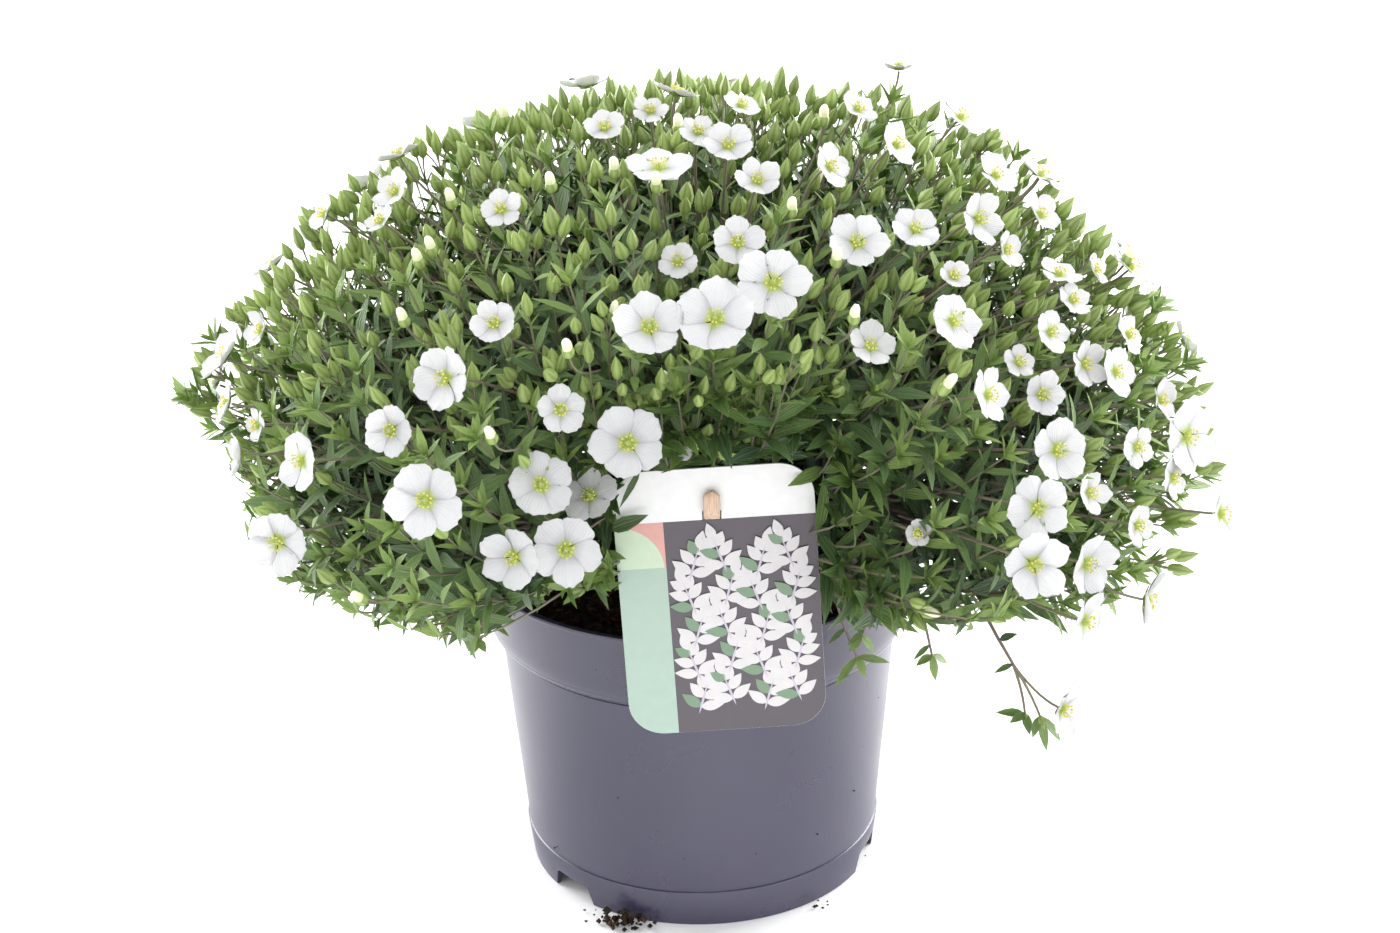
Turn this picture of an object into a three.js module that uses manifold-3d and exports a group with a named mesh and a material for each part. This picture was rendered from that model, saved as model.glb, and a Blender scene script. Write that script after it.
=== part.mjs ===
// Potted mountain sandwort: a dome of leafy, budding shoots and white flowers in its nursery pot.
// Millimetres, +Z up. The origin is the middle of the pot's foot, and the front is towards -Y.
import * as THREE from 'three';
import { mergeVertices } from 'three/addons/utils/BufferGeometryUtils.js';
import Module from 'manifold-3d';

const wasm = await Module();
wasm.setup();

// Driving dimensions of the pot
const POT = {
  height: 144, rimRadius: 95, collarBottomRadius: 89.5, collarBottom: 110, bodyTopRadius: 82.6,
  stepRadius: 75.2, stepHeight: 16.7, footRadius: 73.2, wall: 2, floorHeight: 9.5, floorThickness: 2.5,
  lip: 1, facets: 32,
};
const NOTCH = { width: 24, topWidth: 18, height: 9, turns: [-49, 71, 191] };
const DRAIN = { radius: 5, circle: 50, count: 6 };
const FIT = 0.3;

// Driving dimensions of the compost, the label and its peg
const COMPOST_TOP = 137;
const LABEL = { width: 78, height: 115, thickness: 0.8, corner: 14, centre: [9, 163], lean: 2.5 };
const SLOT = { width: 7.4, height: 5.6, centre: [6.4, 199.4] };
const PEG = { width: 6.5, thickness: 1.6, foot: 100, top: 211.5 };

// The plant's outline: the dome that the tips of the shoots reach
const MOUND = { centreX: 4, waist: 186, radiusX: 208, radiusY: 200, rise: 149, drop: 42 };
const PARTING = { depth: 0.44, turn: 2.5, halfAngle: 28, back: 0.14 };
const CORE_SHARE = 0.8;
const SECTORS = 8;
const CROWN_RADIUS = 52;
const CROWN_FOOT = 12;
const FOOT_RADIUS = 80;
const TUFT = 25;
const TUFT_ROOM = 4.5;
const CROWN_TUFTS = 9;
const SLIT = 0.25;
const WEDGE_STEPS = 5;
const WEDGE_LEVELS = [21, 32, 44, 56, 68, 81, 96, 118, 146];

// Shoots, leaves, buds and flowers
const SHOOT_COUNT = 82;
const TOP_CROWDING = 1.2;
const ROOT_SHARE = 0.74;
const ROOT_DROP = 12;
const STEM_RADIUS = 0.95;
const NODE = 2.4;
const LEAF = { length: 22, width: 6, thickness: 0.9 };
const BUD = { length: 10, radius: 2.8 };
const FLOWER_STALK = 0.9;
const STALK_ROOM = 3;
const HIDDEN_FLOWERS = 34;

// The view of the photograph, 1400 x 933 pixels, which the flowers are placed by
const VIEW = {
  place: new THREE.Vector3(2.28, -1309.07, 789.54), pitch: 0.4383, roll: -0.0233, focal: 3500,
  centre: [700, 466.5],
};
const NEAR_SIDE = 1180;
const FAR_SIDE = 1700;

// Flowers that show clearly, one solid each: the pixel of the eye, the way the flower faces
// (turned right of the front and tilted up, degrees), its width, and how far it stands out of the
// dome towards the viewer, in mm
const CLEAR_FLOWERS = [
  [381, 221, -60, 45, 13, 2], [495, 324, -20, 45, 18, 2], [605, 128, -10, 60, 16, 3],
  [659, 168, 0, 78, 26, 2], [676, 94, 140, 62, 20, 2], [741, 106, 60, 66, 16, 2],
  [832, 166, 60, 30, 19, 2], [896, 145, 62, 35, 20, 4], [899, 68, 175, 60, 12, 8],
  [737, 243, 8, 42, 20, 0], [773, 283, 5, 38, 28, 2], [857, 243, 10, 45, 24, 2],
  [910, 232, 20, 60, 20, -2], [649, 328, 4, 40, 26, 2], [715, 320, 0, 45, 29, 2],
  [870, 347, 30, 50, 18, -6], [953, 321, 40, 35, 23, 2], [978, 219, 45, 25, 21, 2],
  [956, 275, 30, 50, 12, 2], [1059, 275, 60, 72, 17, 2], [1072, 300, 50, 40, 14, 2],
  [1115, 372, 55, 22, 20, 0], [1137, 447, 40, 20, 16, 3], [1186, 436, 45, 15, 29, 6],
  [1057, 450, 30, 22, 24, 0], [1042, 395, 20, 30, 17, -8], [987, 395, 60, 20, 22, -2],
  [1037, 508, 20, 20, 26, 0], [1033, 564, 18, 10, 26, 6], [1082, 566, 45, 5, 25, -8],
  [1086, 620, 58, 5, 24, 2], [1220, 514, 58, 10, 26, 8], [1146, 600, 66, 0, 25, 4],
  [917, 533, 10, 20, 10, 0], [391, 430, -15, 20, 19, 2], [446, 378, -40, 16, 25, 2],
  [426, 500, -10, 22, 29, 2], [541, 485, 0, 32, 26, 2], [560, 410, 16, 26, 19, 0],
  [514, 557, -22, 12, 24, 2], [566, 549, 0, 14, 27, 18], [628, 443, -4, 26, 28, 2],
  [590, 496, -20, 40, 22, 4], [302, 461, -50, 15, 24, 2], [278, 541, -15, 8, 26, 2],
];

// Flowers half hidden in the leaves, part of their spray, in the same terms
const TUCKED_FLOWERS = [
  [509, 213, -20, 50, 17, -3], [395, 192, -50, 45, 18, -4], [322, 222, -70, 30, 16, -4],
  [650, 111, 0, 60, 14, -3], [698, 132, 20, 60, 16, -3], [728, 146, 10, 60, 20, -4],
  [757, 181, 20, 55, 18, -3], [857, 115, 50, 55, 16, -3], [697, 262, -10, 45, 15, -20],
  [960, 118, 70, 50, 22, 0], [995, 176, 60, 50, 20, -2], [1040, 215, 60, 40, 17, -2],
  [1005, 250, 60, 20, 15, -3], [1094, 270, 70, 30, 13, 0], [1050, 332, 50, 30, 17, -4],
  [1128, 335, 60, 30, 16, -2], [1084, 364, 50, 20, 18, -5], [1160, 400, 60, 20, 17, -2],
  [1009, 367, 40, 40, 14, -12], [1080, 498, 50, 20, 17, -5], [1137, 525, 50, 10, 16, -5],
  [1172, 478, 55, 10, 16, -4], [262, 330, -70, 25, 15, -3], [228, 403, -80, 20, 18, 0],
  [258, 425, -60, 10, 14, -4], [241, 455, -75, 5, 18, 0], [681, 449, 0, 30, 9, -24],
];

// Tips of the shoots that stand out along the outline, by pixel
const OUTLINE_TIPS = [
  [182, 395], [192, 352], [225, 305], [262, 267], [300, 205], [350, 170], [430, 122], [500, 105],
  [560, 85], [610, 75], [660, 66], [720, 70], [783, 65], [850, 80], [940, 100], [1000, 128],
  [1045, 155], [1100, 225], [1135, 258], [1165, 315], [1197, 362], [1215, 430], [1200, 560],
  [1170, 600], [235, 470], [248, 540], [300, 600], [352, 622], [410, 636], [960, 640],
];

// Shoots that hang out of the dome: where each is rooted, then the pixels that its stem passes with
// their distance in front of the pot's axis, and the tips of the last pair of leaves likewise
const TRAILING = {
  root: [84, -40, 172],
  stem: [[973, 597, 50], [999, 640, 60], [1013, 664, 64]],
  legs: [
    { end: [1025, 714, 66], leaves: [[995, 711, 64], [1030, 734, 74]] },
    { end: [1040, 716, 66], leaves: [[1048, 754, 66], [1066, 743, 60]] },
  ],
  flower: [1062, 709, 68], turn: 50, tilt: -5, width: 23,
};
const HANGING = [
  {
    root: [52, -66, 174],
    stem: [[836, 595, 88], [843, 623, 84], [857, 657, 80]],
    leaves: [[833, 687, 82], [892, 661, 76]],
  },
  {
    root: [84, -44, 168],
    stem: [[924, 618, 60], [932, 655, 62]],
    leaves: [[916, 665, 66], [950, 663, 58]],
  },
  {
    root: [-84, -46, 168],
    stem: [[492, 622, 72], [478, 640, 80]],
    leaves: [[455, 632, 84], [470, 656, 84]],
  },
];

const GOLDEN_ANGLE = Math.PI * (3 - Math.sqrt(5));
const radians = THREE.MathUtils.degToRad;
const vector = (x, y, z) => new THREE.Vector3(x, y, z);

// Seeded draw between 0 and 1 for item i and purpose k
function draw(i, k) {
  const s = Math.sin(i * 127.1 + k * 311.7) * 43758.5453;
  return s - Math.floor(s);
}

// Closed geometry to solid and back
function solidOf(geometry) {
  const bare = new THREE.BufferGeometry();
  bare.setAttribute('position', geometry.getAttribute('position').clone());
  if (geometry.index) bare.setIndex(geometry.index.clone());
  const merged = mergeVertices(bare, 1e-4);
  return new wasm.Manifold(new wasm.Mesh({
    numProp: 3,
    vertProperties: new Float32Array(merged.getAttribute('position').array),
    triVerts: new Uint32Array(merged.index.array),
  }));
}

function geometryOf(solid) {
  const mesh = solid.getMesh();
  const geometry = new THREE.BufferGeometry();
  geometry.setAttribute('position', new THREE.BufferAttribute(mesh.vertProperties, 3));
  geometry.setIndex(new THREE.BufferAttribute(mesh.triVerts, 1));
  geometry.computeVertexNormals();
  return geometry;
}

// A closed solid from points and triangles, turned outside out where its faces point in
function solidFrom(points, triangles) {
  const geometry = new THREE.BufferGeometry().setFromPoints(points);
  let volume = 0;
  for (const [a, b, c] of triangles) volume += points[a].dot(points[b].clone().cross(points[c]));
  const faces = volume > 0 ? triangles : triangles.map(([a, b, c]) => [a, c, b]);
  geometry.setIndex(faces.flat());
  return solidOf(geometry);
}

// Joins solids that grow together; loose scraps and sealed hollows of the join are left out
function grown(solids) {
  const pieces = wasm.Manifold.union(solids).simplify(0.02).decompose();
  return pieces.reduce((best, piece) => (piece.volume() > best.volume() ? piece : best));
}

// Pot: one moulded shell with a raised floor, a foot ring with notches, and a wider collar
function lathed(profile, facets) {
  const points = profile.map(([r, z]) => new THREE.Vector2(r, z));
  return new THREE.LatheGeometry(points, facets).rotateX(Math.PI / 2);
}

function potSolid() {
  const p = POT;
  const inner = p.wall / Math.cos(Math.atan2(p.bodyTopRadius - p.stepRadius, p.collarBottom - p.stepHeight));
  const floorTop = p.floorHeight + p.floorThickness;
  let pot = solidOf(lathed([
    [0, p.floorHeight], [p.footRadius - inner, p.floorHeight], [p.footRadius - inner, 0], [p.footRadius, 0],
    [p.stepRadius - 0.4, p.stepHeight - 0.4], [p.stepRadius, p.stepHeight],
    [p.bodyTopRadius, p.collarBottom], [p.collarBottomRadius, p.collarBottom],
    [p.rimRadius - p.lip, p.height - p.lip * 2], [p.rimRadius, p.height - p.lip * 2], [p.rimRadius, p.height],
    [p.rimRadius - p.wall - p.lip, p.height], [p.collarBottomRadius - inner, p.collarBottom + p.wall],
    [p.bodyTopRadius - inner, p.collarBottom + p.wall], [p.stepRadius - inner - 0.4, floorTop], [0, floorTop],
  ], p.facets));
  for (const turn of NOTCH.turns) pot = pot.subtract(notchSolid(turn));
  for (let i = 0; i < DRAIN.count; i++) pot = pot.subtract(drainSolid(i * 2 * Math.PI / DRAIN.count));
  return pot;
}

// The cutter of one notch in the foot ring, turned by degrees from the front
function notchSolid(turn) {
  const { width, topWidth, height } = NOTCH;
  const outline = new THREE.Shape([
    new THREE.Vector2(-width / 2, -1), new THREE.Vector2(width / 2, -1), new THREE.Vector2(width / 2, 0),
    new THREE.Vector2(topWidth / 2, height), new THREE.Vector2(-topWidth / 2, height),
    new THREE.Vector2(-width / 2, 0),
  ]);
  const cutter = new THREE.ExtrudeGeometry(outline, { depth: 24, bevelEnabled: false });
  cutter.rotateX(Math.PI / 2).translate(0, -62, 0).rotateZ(radians(turn));
  return solidOf(cutter);
}

function drainSolid(angle) {
  const hole = new THREE.CylinderGeometry(DRAIN.radius, DRAIN.radius, 10, 8).rotateX(Math.PI / 2);
  hole.translate(DRAIN.circle * Math.cos(angle), DRAIN.circle * Math.sin(angle), POT.floorHeight + 1);
  return solidOf(hole);
}

// Compost: it fills the pot to a little below the rim, with a plain hole for the peg
function compostSolid() {
  const inside = POT.wall + FIT + 0.4;
  const fill = solidOf(lathed([
    [0, POT.floorHeight + POT.floorThickness + FIT],
    [POT.stepRadius - inside - 0.4, POT.floorHeight + POT.floorThickness + FIT],
    [POT.bodyTopRadius - inside, POT.collarBottom + POT.wall + FIT],
    [POT.collarBottomRadius - inside - 0.2, POT.collarBottom + POT.wall + FIT],
    [POT.rimRadius - inside - 3.2, COMPOST_TOP - 2], [POT.rimRadius - inside - 9, COMPOST_TOP],
    [0, COMPOST_TOP],
  ], POT.facets));
  return fill.subtract(pegSolid(FIT));
}

// Label: a flat card with round corners and a slot, hung upright against the front of the rim
function labelSolid() {
  const { width: w, height: h, corner: r } = LABEL;
  const outline = new THREE.Shape();
  outline.moveTo(-w / 2 + r, -h / 2);
  outline.lineTo(w / 2 - r, -h / 2).absarc(w / 2 - r, -h / 2 + r, r, -Math.PI / 2, 0);
  outline.lineTo(w / 2, h / 2 - r).absarc(w / 2 - r, h / 2 - r, r, 0, Math.PI / 2);
  outline.lineTo(-w / 2 + r, h / 2).absarc(-w / 2 + r, h / 2 - r, r, Math.PI / 2, Math.PI);
  outline.lineTo(-w / 2, -h / 2 + r).absarc(-w / 2 + r, -h / 2 + r, r, Math.PI, Math.PI * 1.5);
  const flat = { depth: LABEL.thickness, bevelEnabled: false, curveSegments: 4 };
  const card = new THREE.ExtrudeGeometry(outline, flat);
  card.rotateX(Math.PI / 2).rotateY(radians(-LABEL.lean));
  card.translate(LABEL.centre[0], -POT.rimRadius - FIT, LABEL.centre[1]);
  const slot = new THREE.BoxGeometry(SLOT.width, 8, SLOT.height);
  slot.translate(SLOT.centre[0], -POT.rimRadius, SLOT.centre[1]);
  return solidOf(card).subtract(solidOf(slot));
}

// Peg: a flat springy stick from the compost up behind the label, its round tip out through the slot
function pegSolid(clearance = 0) {
  const back = -POT.rimRadius - FIT;
  const half = PEG.thickness / 2 + clearance;
  const line = [
    [-74, PEG.foot - clearance], [-82.5, 140], [-90.4, 188], [back + 2.8, 194.3], [back - 2.5, 202.8],
    [back - 2.9, PEG.top],
  ].map(([y, z]) => new THREE.Vector2(y, z));
  const side = line.map((point, i) => {
    const [before, after] = [line[Math.max(i - 1, 0)], line[Math.min(i + 1, line.length - 1)]];
    const way = after.clone().sub(before).normalize();
    return new THREE.Vector2(-way.y, way.x).multiplyScalar(half);
  });
  const left = line.map((point, i) => point.clone().add(side[i]));
  const right = line.map((point, i) => point.clone().sub(side[i])).reverse();
  const width = PEG.width + 2 * clearance;
  const outline = new THREE.Shape([...left, ...right]);
  const stick = new THREE.ExtrudeGeometry(outline, { depth: width, bevelEnabled: false });
  stick.rotateX(Math.PI / 2).rotateZ(Math.PI / 2).translate(SLOT.centre[0] - width / 2, 0, 0);
  return solidOf(stick).intersect(pegFace(width));
}

// The peg's outline from the front: straight sides and a round top
function pegFace(width) {
  const outline = new THREE.Shape();
  outline.moveTo(-width / 2, 0).lineTo(width / 2, 0).lineTo(width / 2, PEG.top - width / 2);
  outline.absarc(0, PEG.top - width / 2, width / 2, 0, Math.PI);
  const face = new THREE.ExtrudeGeometry(outline, { depth: 60, bevelEnabled: false, curveSegments: 6 });
  return solidOf(face.rotateX(Math.PI / 2).translate(SLOT.centre[0], -60, 0));
}

// The foliage parts round the label and hangs less far out at the back: share of the plan radius
function parting(azimuth, fromTop) {
  const turn = Math.atan2(Math.sin(azimuth), Math.cos(azimuth)) - radians(PARTING.turn);
  const low = THREE.MathUtils.smoothstep(fromTop, radians(35), radians(72));
  const front = PARTING.depth * Math.exp(-((turn / radians(PARTING.halfAngle)) ** 8));
  const back = PARTING.back * Math.max(0, -Math.cos(azimuth)) ** 2;
  return 1 - low * (front + back);
}

// A point of the dome: angle from its top, angle from the front, and share of the way out
function domePoint(fromTop, azimuth, share = 1) {
  const plan = Math.sin(fromTop) * parting(azimuth, fromTop) * share;
  const up = Math.cos(fromTop);
  return vector(
    MOUND.centreX + plan * MOUND.radiusX * Math.sin(azimuth),
    -plan * MOUND.radiusY * Math.cos(azimuth),
    MOUND.waist + share * up * (up > 0 ? MOUND.rise : MOUND.drop),
  );
}

// How far out a point lies: 1 on the dome, less inside
function domeShare(p) {
  const azimuth = azimuthOf(p);
  const plan = Math.hypot((p.x - MOUND.centreX) / MOUND.radiusX, p.y / MOUND.radiusY);
  const up = p.z - MOUND.waist;
  const level = up / (up > 0 ? MOUND.rise : MOUND.drop);
  return Math.hypot(plan / parting(azimuth, Math.atan2(plan, level)), level);
}

function azimuthOf(p) {
  return Math.atan2((p.x - MOUND.centreX) / MOUND.radiusX, -p.y / MOUND.radiusY);
}

function outward(p) {
  const { radiusX, radiusY, rise, centreX, waist } = MOUND;
  return vector((p.x - centreX) / radiusX ** 2, p.y / radiusY ** 2, (p.z - waist) / rise ** 2).normalize();
}

// The line of sight through a pixel
function sightThrough(px, py) {
  const across = px - VIEW.centre[0];
  const down = py - VIEW.centre[1];
  const u = Math.cos(VIEW.roll) * across + Math.sin(VIEW.roll) * down;
  const v = -Math.sin(VIEW.roll) * across + Math.cos(VIEW.roll) * down;
  const sight = vector(0, Math.cos(VIEW.pitch), -Math.sin(VIEW.pitch)).multiplyScalar(VIEW.focal);
  sight.x += u;
  return sight.sub(vector(0, Math.sin(VIEW.pitch), Math.cos(VIEW.pitch)).multiplyScalar(v)).normalize();
}

// Where that line first meets the dome, or passes nearest to it, less a step towards the viewer
function seenAt(px, py, nearer = 0) {
  const sight = sightThrough(px, py);
  let nearest = null;
  let least = Infinity;
  for (let t = NEAR_SIDE; t < FAR_SIDE && least > 1; t += 1) {
    const p = VIEW.place.clone().addScaledVector(sight, t);
    const share = domeShare(p);
    if (share < least) [least, nearest] = [share, p];
  }
  return nearest.addScaledVector(sight, -nearer);
}

// The point of that line at a distance in front of the pot's axis
function seenInFront([px, py, front]) {
  const sight = sightThrough(px, py);
  return VIEW.place.clone().addScaledVector(sight, (-front - VIEW.place.y) / sight.y);
}

// The way a flower faces: turned to the right of the front, and tilted up, in degrees
function facing(turn, tilt) {
  const [t, u] = [radians(turn), radians(tilt)];
  return vector(Math.sin(t) * Math.cos(u), -Math.cos(t) * Math.cos(u), Math.sin(u));
}

function flowerAt([px, py, turn, tilt, width, nearer]) {
  return { place: seenAt(px, py, nearer), face: facing(turn, tilt), radius: width / 2 };
}

// A ring of points round a stem, square to its way; the reference sets where the first one lies
function ringOf(centre, way, reference, radius, spin = 0) {
  const side = reference.clone().addScaledVector(way, -reference.dot(way)).normalize();
  const other = way.clone().cross(side);
  return [0, 1, 2].map((k) => {
    const a = spin + k * 2 * Math.PI / 3;
    const [x, y] = [Math.cos(a) * radius, Math.sin(a) * radius];
    return centre.clone().addScaledVector(side, x).addScaledVector(other, y);
  });
}

// The rings of a stem through points, with a radius and a spin at each
function stemRings(points, radii, reference, spins = []) {
  return points.flatMap((point, i) => {
    const [before, after] = [points[Math.max(i - 1, 0)], points[Math.min(i + 1, points.length - 1)]];
    const way = after.clone().sub(before).normalize();
    return ringOf(point, way, reference, radii[i], spins[i] ?? 0);
  });
}

// The faces between ring a and the next ring, but for the sides that a leaf grows from
function bandFaces(a, open = []) {
  const faces = [];
  for (let k = 0; k < 3; k++) {
    const [p, q] = [a * 3 + k, a * 3 + (k + 1) % 3];
    if (!open.includes(k)) faces.push([p, q, q + 3], [p, q + 3, p + 3]);
  }
  return faces;
}

// Flower: five petals in a shallow cup, one solid. A clear one has round petals and a raised eye,
// and one with stalk points grows straight from its stalk
const ROUND_PETAL = [[-36, 0.6], [-20, 0.98], [0, 0.93], [20, 0.98]];
const PLAIN_PETAL = [[-36, 0.58], [-17, 0.98], [17, 0.98]];

function petalRim(petal, radius) {
  const points = [];
  for (let i = 0; i < petal.length * 5; i++) {
    const [angle, share] = petal[i % petal.length];
    const a = radians(Math.floor(i / petal.length) * 72 + angle);
    const flare = radius * 0.32 * share ** 2 + (i % 2 ? 0.4 : 0);
    points.push(vector(Math.cos(a) * radius * share, Math.sin(a) * radius * share, flare));
  }
  return points;
}

function intoPlace(points, { place, face }) {
  const side = vector(-face.y, face.x, 0).normalize();
  const up = face.clone().cross(side);
  return points.map(({ x, y, z }) => place.clone()
    .addScaledVector(side, x).addScaledVector(up, y).addScaledVector(face, z));
}

function clearFlowerSolid(flower) {
  const rim = petalRim(ROUND_PETAL, flower.radius);
  const points = [vector(0, 0, 1.6), vector(0, 0, -1.5)];
  for (let i = 0; i < 5; i++) {
    const a = radians(i * 72 - 36);
    points.push(vector(Math.cos(a) * flower.radius * 0.2, Math.sin(a) * flower.radius * 0.2, 0.5));
  }
  const triangles = [];
  rim.forEach((point, i) => {
    const [here, next] = [7 + i, 7 + (i + 1) % rim.length];
    const eye = 2 + Math.floor(i / ROUND_PETAL.length);
    triangles.push([eye, here, next], [1, next, here]);
    if (i % ROUND_PETAL.length === ROUND_PETAL.length - 1) {
      const nextEye = 2 + (eye - 1) % 5;
      triangles.push([eye, next, nextEye], [0, eye, nextEye]);
    }
  });
  return solidFrom(intoPlace([...points, ...rim], flower), triangles);
}

function stalkedFlowerSolid(flower, root, elbow) {
  const { place, face } = flower;
  const seat = place.clone().addScaledVector(face, -1.4);
  const reference = vector(-face.y, face.x, 0).normalize();
  const rings = stemRings([root, elbow], [FLOWER_STALK, FLOWER_STALK], reference);
  rings.push(...ringOf(seat, face, reference, 1.7));
  const rim = petalRim(PLAIN_PETAL, flower.radius);
  const triangles = [[0, 2, 1], ...bandFaces(0), ...bandFaces(1)];
  rim.forEach((point, i) => {
    const [here, next] = [10 + i, 10 + (i + 1) % rim.length];
    const under = 6 + Math.floor(i / 5);
    triangles.push([9, here, next], [under, next, here]);
    if (i % 5 === 4) triangles.push([under, 6 + (under - 5) % 3, next]);
  });
  return solidFrom([...rings, ...intoPlace([vector(0, 0, 0.6), ...rim], flower)], triangles);
}

// A stalk or bare stem through points, closed at both ends
function stalkOf(points, radii, reference) {
  const last = (points.length - 1) * 3;
  const triangles = [[0, 2, 1], [last, last + 1, last + 2]];
  for (let i = 0; i < points.length - 1; i++) triangles.push(...bandFaces(i));
  return solidFrom(stemRings(points, radii, reference), triangles);
}

// A leafy stem that ends in a pointed bud. A node is the ring under a pair of opposite leaves, the
// tips of the two and their width. Each leaf grows out of one side of its stem and has a keel below
function leafyStem(points, radii, reference, nodes) {
  const spins = points.map((point, i) => nodes.filter((node) => node.ring < i - 1).length * -Math.PI / 6);
  const vertices = stemRings(points.slice(0, -1), radii, reference, spins);
  const end = points.length - 2;
  const bud = vertices.length;
  vertices.push(points[points.length - 1]);
  const [p, q, r] = [end * 3, end * 3 + 1, end * 3 + 2];
  const triangles = [[0, 2, 1], [p, q, bud], [q, r, bud], [r, p, bud]];
  for (let i = 0; i < end; i++) {
    const node = nodes.find(({ ring }) => ring === i);
    const sides = node ? [(2 + node.parity) % 3, node.parity] : [];
    triangles.push(...bandFaces(i, sides));
    sides.forEach((k, n) => leafFaces(vertices, triangles, i, k, node.tips[n], node.width));
  }
  return solidFrom(vertices, triangles);
}

// One leaf out of side k of the band above ring i: widest before its middle, creased, arched
function leafFaces(vertices, triangles, i, k, tip, width) {
  const [a, b] = [i * 3 + k, i * 3 + (k + 1) % 3];
  const [c, d] = [b + 3, a + 3];
  const root = vertices[a].clone().add(vertices[c]).multiplyScalar(0.5);
  const way = tip.clone().sub(root);
  const edge = vertices[b].clone().sub(vertices[a]);
  const side = edge.clone().addScaledVector(way, -edge.dot(way) / way.lengthSq()).normalize();
  const above = side.clone().cross(way).normalize();
  if (above.dot(vertices[d].clone().sub(vertices[a])) < 0) above.negate();
  const middle = root.clone().addScaledVector(way, 0.42).addScaledVector(above, way.length() * 0.08);
  const first = vertices.length;
  vertices.push(
    middle.clone().addScaledVector(side, -width / 2), middle.clone().addScaledVector(side, width / 2),
    middle.clone().addScaledVector(above, -LEAF.thickness), tip);
  const [left, right, keel, point] = [first, first + 1, first + 2, first + 3];
  triangles.push([a, b, keel], [a, keel, left], [a, left, d], [b, c, right], [b, right, keel], [d, left, right],
    [d, right, c], [left, point, right], [right, point, keel], [keel, point, left]);
}

// What the shoots keep clear of: the flowers, the label with its peg, and the pot's collar
function clearOfFlower(p, { place, face, radius }, margin) {
  const away = p.clone().sub(place);
  const along = away.dot(face);
  const aside = Math.sqrt(Math.max(0, away.lengthSq() - along * along));
  return aside > radius + margin || along < -3 - margin || along > radius * 0.4 + margin;
}

function clearOfLabel(p, room) {
  const ahead = Math.max(0, -POT.rimRadius - p.y);
  const top = LABEL.centre[1] + LABEL.height / 2 + room / 2 + ahead * Math.tan(VIEW.pitch);
  const aside = Math.abs(p.x - LABEL.centre[0]) > LABEL.width / 2 + 2 + room;
  return aside || p.y > -POT.rimRadius + room || p.z > top;
}

function clearOfPot(p) {
  return Math.hypot(p.x, p.y) > POT.rimRadius + 3 || p.z > POT.height + 4;
}

// Sector 0 is the crown in the middle of the dome, and 1 to SECTORS stand round it
function sectorOf(azimuth) {
  const turn = (azimuth / (2 * Math.PI) + 2) % 1;
  return 1 + Math.floor(turn * SECTORS) % SECTORS;
}

function inSector(p, sector, margin) {
  const radius = Math.hypot(p.x - MOUND.centreX, p.y);
  if (sector === 0) return radius < CROWN_RADIUS + 2 - margin;
  const step = 2 * Math.PI / SECTORS;
  const middle = (sector - 0.5) * step;
  const azimuth = Math.atan2(p.x - MOUND.centreX, -p.y);
  const turn = Math.atan2(Math.sin(azimuth - middle), Math.cos(azimuth - middle));
  return radius > CROWN_RADIUS + 3 + margin && radius * Math.sin(step / 2 - Math.abs(turn)) > margin;
}

// Turns a point about the dome's axis until it is that far inside its sector
function heldIn(p, sector, room) {
  if (sector === 0) return p;
  const half = Math.PI / SECTORS;
  const middle = (2 * sector - 1) * half;
  const plan = Math.max(Math.hypot(p.x - MOUND.centreX, p.y), CROWN_RADIUS + 4 + room);
  const azimuth = Math.atan2(p.x - MOUND.centreX, -p.y);
  const limit = half - Math.asin(Math.min(0.35, room / plan));
  const turn = THREE.MathUtils.clamp(
    Math.atan2(Math.sin(azimuth - middle), Math.cos(azimuth - middle)), -limit, limit);
  return p.set(MOUND.centreX + plan * Math.sin(middle + turn), -plan * Math.cos(middle + turn), p.z);
}

// Core of a sector: the dense old growth, which stands on the compost and is rough with tufts
function crownCore() {
  const profile = [[0, COMPOST_TOP + FIT], [CROWN_FOOT, COMPOST_TOP + FIT]];
  for (const share of [1, 0.55]) {
    const radius = CROWN_RADIUS * share;
    const rise = Math.sqrt(1 - (radius / (MOUND.radiusX * CORE_SHARE)) ** 2);
    profile.push([radius, MOUND.waist + MOUND.rise * CORE_SHARE * rise - (share === 1 ? 4 : 0)]);
  }
  profile.push([0, MOUND.waist + MOUND.rise * CORE_SHARE]);
  const plug = solidOf(lathed(profile, 12).translate(MOUND.centreX, 0, 0));
  return wasm.Manifold.union([plug, ...Array.from({ length: CROWN_TUFTS }, (_, i) => crownTuft(i))]);
}

// One of the crown's tufts: a leaning spike sunk into its top
function crownTuft(i) {
  const plan = (CROWN_RADIUS - 15) * Math.sqrt((i + 0.5) / CROWN_TUFTS);
  const angle = i * GOLDEN_ANGLE;
  const spike = new THREE.ConeGeometry(12, TUFT + 20 + 6 * draw(i, 2), 4);
  spike.rotateX(Math.PI / 2).rotateY(0.3 * plan / CROWN_RADIUS).rotateZ(angle);
  const top = MOUND.waist + MOUND.rise * CORE_SHARE - 3 - 6 * (plan / CROWN_RADIUS) ** 2;
  spike.translate(MOUND.centreX + plan * Math.cos(angle), plan * Math.sin(angle), top);
  return solidOf(spike);
}

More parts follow.
